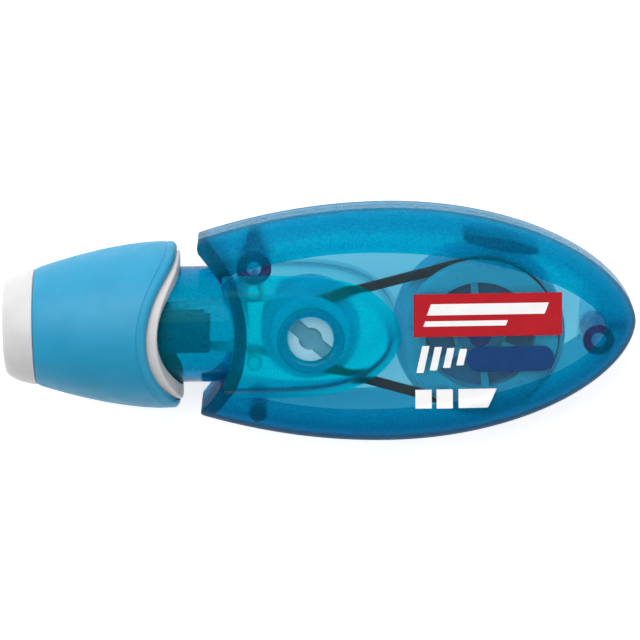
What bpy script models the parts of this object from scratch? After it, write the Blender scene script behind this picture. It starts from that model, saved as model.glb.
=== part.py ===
"""Pocket correction tape roller with a twist sleeve, as an assembly of separate pieces.

The roller lies flat: +X runs from the nose to the tail, +Z is the normal of its wide face.
Pieces are laid out around the sleeve's axis, which the assembly empty lifts above Z = 0.
"""
import math

import bmesh
import bpy

MM = 0.001
GAP = 0.3 * MM
TINY = 0.00001

# Sleeve. Its axis lies along X, and the roller rests on the grip.
SLEEVE_RADIUS = 13.9 * MM
SLEEVE_WIDEST_X = -26.7 * MM
SLEEVE_TAPER = 1.3 * MM
SLEEVE_TAPER_LENGTH = 10.0 * MM
SLEEVE_TAPER_POWER = 1.62
SLEEVE_REAR_X = -23.4 * MM
GRIP_THICKNESS = 1.2 * MM
GRIP_FRONT_X = -47.0 * MM
GRIP_EDGE_RADIUS = 17.5 * MM
SLEEVE_EDGE_CENTRE_X = -11.0 * MM
LINER_EDGE_RADIUS = 16.25 * MM
LINER_REAR_X = -22.9 * MM
LINER_BORE = 10.0 * MM
LINER_FRONT_BORE = 7.1 * MM
STOP_BORE = 8.0 * MM
STOP_LENGTH = 1.0 * MM
NOSE_BACK_X = -47.3 * MM
NOSE_BACK_RADIUS = 9.63 * MM
NOSE_TIP_X = -52.4 * MM
NOSE_TIP_RADIUS = 7.1 * MM
NOSE_OPENING = 5.6 * MM
NOSE_LIP = 1.2 * MM

# Case: a leaf outline, widest at CASE_WIDEST_X, with a flat panel inside a rounded shoulder.
CASE_WIDEST_X = 11.0 * MM
CASE_HALF_HEIGHT = 19.6 * MM
CASE_TAIL_REACH = 41.4 * MM
CASE_FRONT_REACH = 62.6 * MM
CASE_TAIL_POWER = 1.14
CASE_FRONT_X = -24.0 * MM
RIM_HALF_DEPTH = 3.5 * MM
PANEL_HALF_DEPTH = 7.0 * MM
PANEL_CENTRE_X = 8.0 * MM
PANEL_HALF_HEIGHT = 14.2 * MM
PANEL_TAIL_REACH = 40.0 * MM
PANEL_FRONT_REACH = 46.0 * MM
PANEL_TAIL_POWER = 1.2
WALL = 1.2 * MM
FRONT_WALL = 1.8 * MM
SADDLE_CENTRE_X = -33.0 * MM
SADDLE_RADIUS = 18.7 * MM
PARTING_GAP = 0.15 * MM
SPACE_REACH = 80 * MM
SPACE_HEIGHT = 30 * MM
HUMP_START_X = -16.0 * MM
HUMP_LENGTH = 29.3 * MM
HUMP_HALF_WIDTH = 10.3 * MM
HUMP_TOP = 9.7 * MM
HUMP_EDGE = 1.3 * MM
HUMP_FULLNESS = 4.5
HUMP_TAIL_POWER = 0.6
NECK_RADIUS = 9.67 * MM
NECK_WALL = 1.25 * MM
NECK_STEP_X = -29.5 * MM
NECK_END_X = -12.0 * MM
FRONT_NECK_RADIUS = 6.8 * MM
FRONT_NECK_BORE = 5.6 * MM
FRONT_NECK_X = -42.0 * MM

# Joining pins of the two shells: centre, boss radius.
BOSSES = (
    (-10.5 * MM, 11.5 * MM, 2.7 * MM),
    (-10.5 * MM, -13.6 * MM, 1.5 * MM),
    (46.0 * MM, -1.85 * MM, 2.5 * MM),
)
BOSS_HOLE = 1.1 * MM
BOSS_TOP = 1.0 * MM
BOSS_HOLE_DEPTH = 4.4 * MM
PIN_RADIUS = 0.8 * MM
PIN_TIP = -2.4 * MM
BOSS_ROOT = 5.9 * MM
RIB_HALF_WIDTH = 0.6 * MM
RIB_BOTTOM = -3.6 * MM
RIB_ENDS = (
    (-10.5 * MM, 13.0 * MM, -10.5 * MM, 16.8 * MM),
    (-10.5 * MM, -16.8 * MM, -10.5 * MM, -14.5 * MM),
    (47.5 * MM, -1.85 * MM, 51.6 * MM, -1.85 * MM),
)

# Spools.
SUPPLY_X = 26.4 * MM
SUPPLY_Y = -1.4 * MM
TAKE_UP_X = -1.6 * MM
TAKE_UP_Y = -0.7 * MM
TAPE_HALF_WIDTH = 2.5 * MM
ROLL_RADIUS = 13.0 * MM
ROLL_BORE = 7.6 * MM
FILM_ROLL_RADIUS = 5.2 * MM
SPOOL_FLANGE_RADIUS = 14.2 * MM
TAKE_UP_FLANGE_RADIUS = 8.2 * MM
SUPPLY_FOOT = 3.5 * MM
SUPPLY_FOOT_TOP = -3.9 * MM
SUPPLY_POST = 2.4 * MM
SUPPLY_POST_TOP = 4.9 * MM
CLIP_POST = 1.6 * MM
CLIP_POST_TOP = 5.5 * MM
TAKE_UP_FOOT = 2.6 * MM
TAKE_UP_FOOT_TOP = -3.6 * MM
TAKE_UP_POST = 1.5 * MM
TAKE_UP_POST_TOP = 2.9 * MM
POST_BASE = -4.5 * MM
HUB_RADIUS = 6.2 * MM
HUB_BORE = 4.9 * MM
HUB_FLOOR = 1.2 * MM
SUPPLY_FLANGE = (-3.6 * MM, -2.9 * MM)
CORE_INNER = 6.5 * MM
CORE_OUTER = 7.3 * MM
CLUTCH_INNER = 3.0 * MM
CLUTCH_OUTER = 4.6 * MM
CLUTCH_BOTTOM = 1.5 * MM
TAKE_UP_HUB = 4.4 * MM
TAKE_UP_FLANGES = (-3.3 * MM, -2.8 * MM, 2.8 * MM, 3.2 * MM)
FILM_ROLL_BORE = 4.7 * MM
KNOB_RADIUS = 3.9 * MM
KNOB_BOTTOM = 7.0 * MM
KNOB_TOP = 8.2 * MM
KNOB_SLOT_HALF = 1.15 * MM
KNOB_SLOT_DEPTH = 0.6 * MM
KNOB_SLOT_TURN = math.radians(-40)
KNOB_EYE = 2.0 * MM
KNOB_STEM = 2.5 * MM
KNOB_STEM_BOTTOM = 5.7 * MM
COLLAR_RADIUS = 5.5 * MM
COLLAR_TOP = 9.9 * MM

# Belt: the same gap is kept to both grooves.
BELT_SUPPLY_RADIUS = 13.0 * MM
BELT_TAKE_UP_RADIUS = 5.92 * MM
BELT_THICKNESS = 1.7 * MM
BELT_BOTTOM = 3.5 * MM
BELT_TOP = 4.7 * MM

# Pulleys, from the lower flange to the top of the rim.
PULLEY_BOTTOM = 2.8 * MM
PULLEY_FLANGE_TOP = 3.2 * MM
PULLEY_GROOVE_TOP = 5.0 * MM
PULLEY_TOP = 5.4 * MM
PULLEY_RIM_OUTER = 12.8 * MM
PULLEY_RIM_INNER = 10.2 * MM
PULLEY_WEB_TOP = 3.5 * MM
PULLEY_HUB_RADIUS = 4.6 * MM
PULLEY_HUB_TOP = 4.6 * MM
SPOKES = 6
SPOKE_START = 4.0 * MM
SPOKE_END = 10.8 * MM
SPOKE_BOTTOM = 3.0 * MM
SPOKE_TOP = 4.4 * MM
SPOKE_HALF_WIDTH = 0.6 * MM
CLIP_RADIUS = 3.4 * MM
TAKE_UP_PULLEY_RIM = 6.6 * MM

# Tape path.
TAPE_THICKNESS = 0.2 * MM
TAPE_OFFSET = GAP + TAPE_THICKNESS / 2
GUIDE_X = -11.0 * MM
GUIDE_Y = 6.1 * MM
GUIDE_RADIUS = 1.2 * MM
GUIDE_TOP = 3.2 * MM
BLADE_TIP_X = -50.6 * MM
BLADE_TIP_RADIUS = 0.35 * MM
BLADE_ROOT_X = -42.3 * MM
BLADE_ROOT_HALF = 1.1 * MM
SHANK_FRONT_X = -28.0 * MM
SHANK_BACK_X = -18.3 * MM
SHANK_HALF = 2.5 * MM
SHANK_HALF_DEPTH = 7.6 * MM
FLANGE_INNER = 2.9 * MM
FLANGE_OUTER = 3.5 * MM
FLANGE_HALF = 3.4 * MM
FIN_HALF = 0.8 * MM
FIN_CLEARANCE = 0.4 * MM
CHEEK_HALF = 2.2 * MM
CHEEK_TAPER_X = -47.0 * MM
CHEEK_END_X = -50.0 * MM
CHEEK_END_HALF = 1.2 * MM
EDGE_STEPS = 6

# Carrier ring of the sleeve.
CARRIER_FRONT_X = -41.0 * MM
CARRIER_BACK_X = -38.2 * MM
CARRIER_RADIUS = 8.6 * MM
KEY_HALF = 0.7 * MM
KEYWAY_HALF = 1.1 * MM
KEY_INNER = 6.0 * MM
KEYWAY_END_X = -30.2 * MM

SHOULDER_STEPS = 3
HUMP_STEPS = 10
TAIL_STEPS = 11
FRONT_STEPS = 5
ROUND_STEPS = 32
BORE_STEPS = 38
WIDE_STEPS = 48
ARC_STEPS = 72
PIN_STEPS = 16
CLIP_STEPS = 24
EDGE_ROUNDS = 4
GRIP_STATIONS = 6
BELT_ARC = math.radians(10)
TAPE_ARC = math.radians(12)

COLOURS = {
    "case_blue": ((0.01, 0.28, 0.42), 0.25, 0.0),
    "grip_blue": ((0.08, 0.36, 0.68), 0.5, 0.0),
    "white_plastic": ((0.76, 0.74, 0.72), 0.35, 0.0),
    "belt_black": ((0.01, 0.01, 0.012), 0.7, 0.0),
    "tape_white": ((0.85, 0.85, 0.84), 0.6, 0.0),
    "film": ((0.72, 0.78, 0.80), 0.25, 0.0),
    "spool_blue": ((0.10, 0.45, 0.58), 0.35, 0.0),
    "knob": ((0.55, 0.68, 0.74), 0.35, 0.0),
}


# ---------------------------------------------------------------- scene and materials

def clear_scene():
    for obj in list(bpy.data.objects):
        bpy.data.objects.remove(obj, do_unlink=True)


def new_collection(name):
    group = bpy.data.collections.new(name)
    bpy.context.scene.collection.children.link(group)
    return group


def new_material(name):
    colour, roughness, metallic = COLOURS[name]
    material = bpy.data.materials.new(name)
    material.use_nodes = True
    shader = material.node_tree.nodes["Principled BSDF"]
    shader.inputs["Base Color"].default_value = (*colour, 1.0)
    shader.inputs["Roughness"].default_value = roughness
    shader.inputs["Metallic"].default_value = metallic
    material.diffuse_color = (*colour, 1.0)
    return material


def new_empty(name, location, parent=None):
    empty = bpy.data.objects.new(name, None)
    PARTS.objects.link(empty)
    empty.location = location
    empty.parent = parent
    return empty


def place(mesh, name, parent, location=(0, 0, 0), material=None):
    """Link a mesh as a named part, or as a hidden cutter where it has no material."""
    obj = bpy.data.objects.new(name, mesh)
    obj.parent = parent
    obj.location = location
    if material:
        mesh.materials.append(MATERIALS[material])
        PARTS.objects.link(obj)
    else:
        obj.hide_render = True
        obj.display_type = "WIRE"
        CUTTERS.objects.link(obj)
    return obj


# ---------------------------------------------------------------- shape makers

def finish_mesh(bm, name):
    mesh = bpy.data.meshes.new(name)
    bm.to_mesh(mesh)
    bm.free()
    return mesh


def box(name, low, high, parent, material=None):
    """Box between two corners."""
    bm = bmesh.new()
    bmesh.ops.create_cube(bm, size=1.0)
    for vert in bm.verts:
        for axis in range(3):
            vert.co[axis] = low[axis] + (vert.co[axis] + 0.5) * (high[axis] - low[axis])
    return place(finish_mesh(bm, name), name, parent, material=material)


def rod(name, centre, radius, bottom, top, parent, material=None, steps=ROUND_STEPS):
    """Upright cylinder between two heights."""
    bm = bmesh.new()
    bmesh.ops.create_cone(bm, cap_ends=True, segments=steps, radius1=radius, radius2=radius,
                          depth=top - bottom)
    location = (centre[0], centre[1], (top + bottom) / 2)
    return place(finish_mesh(bm, name), name, parent, location, material)


def turned(name, profile, parent, material=None, along_x=False, steps=ROUND_STEPS, closed=True):
    """Turn (radius, height) points about the piece's axis; the outer side runs downwards."""
    bm = bmesh.new()
    verts = [bm.verts.new((radius, 0, height)) for radius, height in profile]
    for first, second in zip(verts, verts[1:]):
        bm.edges.new((first, second))
    if closed:
        bm.edges.new((verts[-1], verts[0]))
    obj = place(finish_mesh(bm, name), name, parent, material=material)
    if along_x:
        obj.rotation_euler = (0, math.pi / 2, 0)
    screw = obj.modifiers.new("turn", "SCREW")
    screw.axis = "Z"
    screw.angle = 2 * math.pi
    screw.steps = steps
    screw.render_steps = steps
    screw.use_merge_vertices = True
    screw.merge_threshold = TINY
    screw.use_smooth_shade = True
    return obj


def disc_profile(inner, outer, bottom, top):
    """Rectangular section of a ring."""
    return [(outer, top), (outer, bottom), (inner, bottom), (inner, top)]


def flat(name, loops, bottom, top, parent, material=None):
    """Closed outlines in plan, filled and extruded between two heights."""
    curve = bpy.data.curves.new(name, "CURVE")
    curve.dimensions = "2D"
    curve.fill_mode = "BOTH"
    curve.extrude = (top - bottom) / 2
    for loop in loops:
        spline = curve.splines.new("POLY")
        spline.points.add(len(loop) - 1)
        spline.use_cyclic_u = True
        for point, (x, y) in zip(spline.points, loop):
            point.co = (x, y, 0, 1)
    source = bpy.data.objects.new(name + "_outline", curve)
    bpy.context.scene.collection.objects.link(source)
    depsgraph = bpy.context.evaluated_depsgraph_get()
    mesh = bpy.data.meshes.new_from_object(source.evaluated_get(depsgraph))
    bpy.data.objects.remove(source)
    bm = bmesh.new()
    bm.from_mesh(mesh)
    bmesh.ops.remove_doubles(bm, verts=bm.verts, dist=TINY / 10)
    bmesh.ops.recalc_face_normals(bm, faces=bm.faces)
    bm.to_mesh(mesh)
    bm.free()
    mesh.materials.clear()
    return place(mesh, name, parent, (0, 0, (top + bottom) / 2), material)


def boolean(obj, operation, tool):
    modifier = obj.modifiers.new(operation.lower() + "_" + tool.name, "BOOLEAN")
    modifier.operation = operation
    modifier.object = tool
    modifier.solver = "EXACT"


def wrap_path(stops, arc_step, closed=False):
    """Points along a strip that runs past circles (x, y, radius, side).

    Side is +1 where the circle is on the strip's left and -1 where it is on its right.
    """
    pairs = list(zip(stops, stops[1:]))
    if closed:
        pairs.append((stops[-1], stops[0]))
    tangents = []
    for (ax, ay, ar, aside), (bx, by, br, bside) in pairs:
        reach = math.hypot(bx - ax, by - ay)
        offset_a = ar * aside
        offset_b = br * bside
        normal = math.atan2(by - ay, bx - ax) + math.acos((offset_b - offset_a) / reach)
        leave = (ax - offset_a * math.cos(normal), ay - offset_a * math.sin(normal))
        arrive = (bx - offset_b * math.cos(normal), by - offset_b * math.sin(normal))
        tangents.append((leave, arrive))
    points = []
    count = len(stops)
    for index, (cx, cy, radius, side) in enumerate(stops):
        if not closed and index == 0:
            points.append(tangents[0][0])
            continue
        start = tangents[index - 1][1]
        points.append(start)
        if not closed and index == count - 1:
            continue
        end = tangents[index % len(tangents)][0]
        first = math.atan2(start[1] - cy, start[0] - cx)
        sweep = (side * (math.atan2(end[1] - cy, end[0] - cx) - first)) % (2 * math.pi)
        parts = max(1, math.ceil(sweep / arc_step))
        for part in range(1, parts + 1):
            angle = first + side * sweep * part / parts
            points.append((cx + radius * math.cos(angle), cy + radius * math.sin(angle)))
    return points


def ribbon(name, points, parent, material):
    """Thin tape standing on edge along a path in plan."""
    bm = bmesh.new()
    previous = None
    for x, y in points:
        pair = (bm.verts.new((x, y, -TAPE_HALF_WIDTH)), bm.verts.new((x, y, TAPE_HALF_WIDTH)))
        if previous:
            bm.faces.new((previous[0], pair[0], pair[1], previous[1]))
        previous = pair
    obj = place(finish_mesh(bm, name), name, parent, material=material)
    solidify = obj.modifiers.new("thickness", "SOLIDIFY")
    solidify.thickness = TAPE_THICKNESS
    solidify.offset = 0
    return obj


# ---------------------------------------------------------------- case

def rim_point(index, inset):
    """Half outline of the case at its rim, from the front (0) to the tail."""
    if index <= FRONT_STEPS:
        x = CASE_FRONT_X + (CASE_WIDEST_X - CASE_FRONT_X) * index / FRONT_STEPS
        y = CASE_HALF_HEIGHT * (1 - ((CASE_WIDEST_X - x) / CASE_FRONT_REACH) ** 2)
        return x, y - inset
    turn = math.pi / 2 * (index - FRONT_STEPS) / TAIL_STEPS
    x = CASE_WIDEST_X + (CASE_TAIL_REACH - inset) * math.sin(turn)
    return x, (CASE_HALF_HEIGHT - inset) * abs(math.cos(turn)) ** CASE_TAIL_POWER


def panel_point(index):
    """Half outline of the flat panel, point for point with the rim."""
    if index <= FRONT_STEPS:
        x = CASE_FRONT_X + (PANEL_CENTRE_X - CASE_FRONT_X) * index / FRONT_STEPS
        return x, PANEL_HALF_HEIGHT * (1 - ((PANEL_CENTRE_X - x) / PANEL_FRONT_REACH) ** 2)
    turn = math.pi / 2 * (index - FRONT_STEPS) / TAIL_STEPS
    x = PANEL_CENTRE_X + PANEL_TAIL_REACH * math.sin(turn)
    return x, PANEL_HALF_HEIGHT * abs(math.cos(turn)) ** PANEL_TAIL_POWER


def case_section(index, inset):
    """Closed loop across the case: rim, shoulder and panel on all four quarters."""
    rim_x, rim_y = rim_point(index, inset)
    panel_x, panel_y = panel_point(index)
    quarter = []
    for step in range(SHOULDER_STEPS + 1):
        turn = math.pi / 2 * step / SHOULDER_STEPS
        blend = 1 - math.cos(turn)
        height = RIM_HALF_DEPTH + (PANEL_HALF_DEPTH - inset - RIM_HALF_DEPTH) * math.sin(turn)
        x = rim_x + (panel_x - rim_x) * blend
        y = rim_y + (panel_y - rim_y) * blend
        quarter.append((x, y, height))
    upper = quarter + [(x, -y, z) for x, y, z in reversed(quarter)]
    return upper + [(x, y, -z) for x, y, z in reversed(upper)]


def case_solid(name, inset):
    """Leaf-shaped body lofted through its sections, drawn in by the inset."""
    bm = bmesh.new()
    rings = []
    for index in range(FRONT_STEPS + TAIL_STEPS + 1):
        rings.append([bm.verts.new(point) for point in case_section(index, inset)])
    for first, second in zip(rings, rings[1:]):
        for corner in range(len(first)):
            bm.faces.new((first[corner], first[corner - 1], second[corner - 1], second[corner]))
    bm.faces.new(rings[0])
    bmesh.ops.remove_doubles(bm, verts=bm.verts, dist=TINY)
    bmesh.ops.recalc_face_normals(bm, faces=bm.faces)
    return place(finish_mesh(bm, name), name, ASSEMBLY)


def hump_solid(name, inset, top):
    """Teardrop plateau on both faces of the case, behind the neck."""
    bm = bmesh.new()
    rings = []
    for height, drawn_in in ((-top, inset + HUMP_EDGE), (-top + HUMP_EDGE, inset),
                             (top - HUMP_EDGE, inset), (top, inset + HUMP_EDGE)):
        upper = []
        for step in range(HUMP_STEPS + 1):
            along = math.sin(math.pi / 2 * step / HUMP_STEPS)
            x = HUMP_START_X + (HUMP_LENGTH - drawn_in) * along
            width = (1 - along ** HUMP_FULLNESS) ** HUMP_TAIL_POWER
            upper.append((x, (HUMP_HALF_WIDTH - drawn_in) * width))
        loop = upper + [(x, -y) for x, y in reversed(upper[:-1])]
        rings.append([bm.verts.new((x, y + TAKE_UP_Y, height)) for x, y in loop])
    for first, second in zip(rings, rings[1:]):
        for corner in range(len(first)):
            bm.faces.new((first[corner], first[corner - 1], second[corner - 1], second[corner]))
    bm.faces.new(rings[0])
    bm.faces.new(rings[-1])
    bmesh.ops.recalc_face_normals(bm, faces=bm.faces)
    return place(finish_mesh(bm, name), name, ASSEMBLY)


def saddle_cutter(name, radius):
    reach = SLEEVE_RADIUS + GAP
    return rod(name, (SADDLE_CENTRE_X, 0), radius, -reach, reach, ASSEMBLY, steps=ARC_STEPS)


def case_tools():
    """Bodies that both shells are cut from."""
    tools = {}
    tools["outer"] = case_solid("case_outer", 0)
    tools["cavity"] = case_solid("case_cavity", WALL)
    tools["saddle"] = saddle_cutter("saddle_outer", SADDLE_RADIUS)
    tools["saddle_inner"] = saddle_cutter("saddle_inner", SADDLE_RADIUS + FRONT_WALL)
    tools["hump"] = hump_solid("hump_outer", 0, HUMP_TOP)
    tools["hump_cavity"] = hump_solid("hump_cavity", WALL, HUMP_TOP - WALL)
    neck = [(0, NECK_END_X), (NECK_RADIUS, NECK_END_X), (NECK_RADIUS, NECK_STEP_X),
            (FRONT_NECK_RADIUS, NECK_STEP_X), (FRONT_NECK_RADIUS, FRONT_NECK_X), (0, FRONT_NECK_X)]
    tools["neck"] = turned("neck_outer", neck, ASSEMBLY, along_x=True, closed=False)
    bore_step = NECK_STEP_X + NECK_WALL
    bore_radius = NECK_RADIUS - NECK_WALL
    bore = [(0, NECK_END_X + 2 * MM), (bore_radius, NECK_END_X + 2 * MM), (bore_radius, bore_step),
            (FRONT_NECK_BORE, bore_step), (FRONT_NECK_BORE, FRONT_NECK_X - 1 * MM),
            (0, FRONT_NECK_X - 1 * MM)]
    tools["bore"] = turned("neck_bore", bore, ASSEMBLY, along_x=True, steps=BORE_STEPS, closed=False)
    tools["keyway"] = box("keyway", (FRONT_NECK_X - 1 * MM, -KEYWAY_HALF, -LINER_BORE),
                          (KEYWAY_END_X, KEYWAY_HALF, LINER_BORE), ASSEMBLY)
    boolean(tools["outer"], "UNION", tools["hump"])
    boolean(tools["outer"], "DIFFERENCE", tools["saddle"])
    boolean(tools["cavity"], "UNION", tools["hump_cavity"])
    boolean(tools["cavity"], "DIFFERENCE", tools["saddle_inner"])
    boolean(tools["outer"], "UNION", tools["neck"])
    boolean(tools["cavity"], "UNION", tools["bore"])
    boolean(tools["outer"], "DIFFERENCE", tools["cavity"])
    return tools


def half_space(name, side):
    """Box that keeps one side of the parting plane."""
    low, high = sorted((side * PARTING_GAP, side * SPACE_HEIGHT))
    return box(name, (-SPACE_REACH, -SPACE_REACH, low), (SPACE_REACH, SPACE_REACH, high), ASSEMBLY)


def half_shell(name, tools, side):
    """One half of the hollow case, cut off at the parting plane."""
    reach = SPACE_REACH - MM
    height = SPACE_HEIGHT - MM
    shell = box(name, (-reach, -reach, -height), (reach, reach, height), ASSEMBLY, "case_blue")
    boolean(shell, "INTERSECT", tools["outer"])
    boolean(shell, "INTERSECT", half_space(name + "_side", side))
    boolean(shell, "DIFFERENCE", tools["keyway"])
    return shell


def build_front_shell(tools):
    shell = half_shell("front_shell", tools, 1)
    collar = rod("knob_collar", (TAKE_UP_X, TAKE_UP_Y), COLLAR_RADIUS, HUMP_TOP - WALL / 2,
                 COLLAR_TOP, ASSEMBLY)
    hole = rod("knob_hole", (TAKE_UP_X, TAKE_UP_Y), KNOB_RADIUS + GAP, PANEL_HALF_DEPTH / 2,
               COLLAR_TOP + MM, ASSEMBLY)
    boolean(shell, "UNION", collar)
    boolean(shell, "DIFFERENCE", hole)
    for number, (x, y, radius) in enumerate(BOSSES, 1):
        root = rod(f"pin_root_{number}", (x, y), radius, BOSS_TOP + GAP, BOSS_ROOT, ASSEMBLY, steps=PIN_STEPS)
        pin = rod(f"pin_{number}", (x, y), PIN_RADIUS, PIN_TIP, BOSS_ROOT - MM, ASSEMBLY, steps=PIN_STEPS)
        boolean(shell, "UNION", root)
        boolean(shell, "UNION", pin)


def post(shell, name, centre, steps_up):
    """Stepped post on the rear shell: (radius, bottom, top) of each step, from the shell's inside."""
    for number, (radius, bottom, top) in enumerate(steps_up, 1):
        tool = rod(f"{name}_{number}", centre, radius, bottom, top, ASSEMBLY, steps=PIN_STEPS)
        boolean(shell, "UNION", tool)


def build_rear_shell(tools):
    shell = half_shell("rear_shell", tools, -1)
    panel_root = -PANEL_HALF_DEPTH + WALL / 2
    hump_root = -HUMP_TOP + WALL / 2
    post(shell, "supply_post", (SUPPLY_X, SUPPLY_Y), (
        (SUPPLY_FOOT, panel_root, SUPPLY_FOOT_TOP),
        (SUPPLY_POST, POST_BASE, SUPPLY_POST_TOP),
        (CLIP_POST, SUPPLY_POST_TOP - MM, CLIP_POST_TOP)))
    post(shell, "take_up_post", (TAKE_UP_X, TAKE_UP_Y), (
        (TAKE_UP_FOOT, hump_root, TAKE_UP_FOOT_TOP),
        (TAKE_UP_POST, POST_BASE, TAKE_UP_POST_TOP)))
    for side in (-1, 1):
        post(shell, f"tape_guide_{side}", (GUIDE_X, side * GUIDE_Y), (
            (GUIDE_RADIUS, hump_root, GUIDE_TOP),))
    for number, (x, y, radius) in enumerate(BOSSES, 1):
        post(shell, f"boss_{number}", (x, y), ((radius, -BOSS_ROOT, BOSS_TOP),))
    for number, (low_x, low_y, high_x, high_y) in enumerate(RIB_ENDS, 1):
        across_x = RIB_HALF_WIDTH if low_x == high_x else 0
        across_y = RIB_HALF_WIDTH - across_x
        rib = box(f"boss_rib_{number}", (low_x - across_x, low_y - across_y, RIB_BOTTOM),
                  (high_x + across_x, high_y + across_y, -GAP), ASSEMBLY)
        boolean(shell, "UNION", rib)
    for number, (x, y, _) in enumerate(BOSSES, 1):
        hole = rod(f"boss_hole_{number}", (x, y), BOSS_HOLE, BOSS_TOP - BOSS_HOLE_DEPTH,
                   BOSS_TOP + MM, ASSEMBLY, steps=PIN_STEPS)
        boolean(shell, "DIFFERENCE", hole)


# ---------------------------------------------------------------- applicator

def build_tip_holder():
    """Wedge between the two tape runs, with a tall shank in the neck and side flanges."""
    wedge = [(SHANK_BACK_X, -SHANK_HALF), (SHANK_BACK_X, SHANK_HALF), (SHANK_FRONT_X, SHANK_HALF),
             (BLADE_ROOT_X + GAP, BLADE_ROOT_HALF), (BLADE_ROOT_X + GAP, -BLADE_ROOT_HALF),
             (SHANK_FRONT_X, -SHANK_HALF)]
    holder = flat("tip_holder", [wedge], -FLANGE_INNER - GAP, FLANGE_INNER + GAP, ASSEMBLY, "case_blue")
    shank = box("shank", (SHANK_FRONT_X + GAP, -SHANK_HALF + GAP, -SHANK_HALF_DEPTH),
                (SHANK_BACK_X - GAP, SHANK_HALF - GAP, SHANK_HALF_DEPTH), ASSEMBLY)
    fin_reach = FRONT_NECK_BORE - FIN_CLEARANCE
    fin = box("fin", (FRONT_NECK_X + MM, -FIN_HALF, -fin_reach), (NECK_STEP_X - MM, FIN_HALF, fin_reach),
              ASSEMBLY)
    boolean(holder, "UNION", shank)
    boolean(holder, "UNION", fin)
    for side in (-1, 1):
        low, high = sorted((side * FLANGE_INNER, side * FLANGE_OUTER))
        flange = box(f"holder_flange_{side}", (FRONT_NECK_X, -FLANGE_HALF, low),
                     (NECK_STEP_X, FLANGE_HALF, high), ASSEMBLY)
        boolean(holder, "UNION", flange)


def build_tip_blade():
    """Flexible wedge with the round edge that the tape turns over, and two side cheeks."""
    edge = []
    for step in range(EDGE_STEPS + 1):
        turn = math.pi / 2 + math.pi * step / EDGE_STEPS
        edge.append((BLADE_TIP_X + BLADE_TIP_RADIUS * math.cos(turn),
                     BLADE_TIP_RADIUS * math.sin(turn)))
    outline = [(BLADE_ROOT_X, -BLADE_ROOT_HALF), (BLADE_ROOT_X, BLADE_ROOT_HALF)] + edge
    blade = flat("tip_blade", [outline], -FLANGE_INNER - GAP, FLANGE_INNER + GAP, ASSEMBLY,
                 "white_plastic")
    cheek = [(BLADE_ROOT_X, -CHEEK_HALF), (BLADE_ROOT_X, CHEEK_HALF), (CHEEK_TAPER_X, CHEEK_HALF),
             (CHEEK_END_X, CHEEK_END_HALF), (CHEEK_END_X, -CHEEK_END_HALF), (CHEEK_TAPER_X, -CHEEK_HALF)]
    for side in (-1, 1):
        low, high = sorted((side * FLANGE_INNER, side * FLANGE_OUTER))
        boolean(blade, "UNION", flat(f"cheek_{side}", [cheek], low, high, ASSEMBLY))


# ---------------------------------------------------------------- sleeve

def grip_radius(x):
    """Outer radius of the sleeve along its length."""
    forward = max(0.0, (SLEEVE_WIDEST_X - x) / SLEEVE_TAPER_LENGTH)
    return SLEEVE_RADIUS - SLEEVE_TAPER * forward ** SLEEVE_TAPER_POWER


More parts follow.
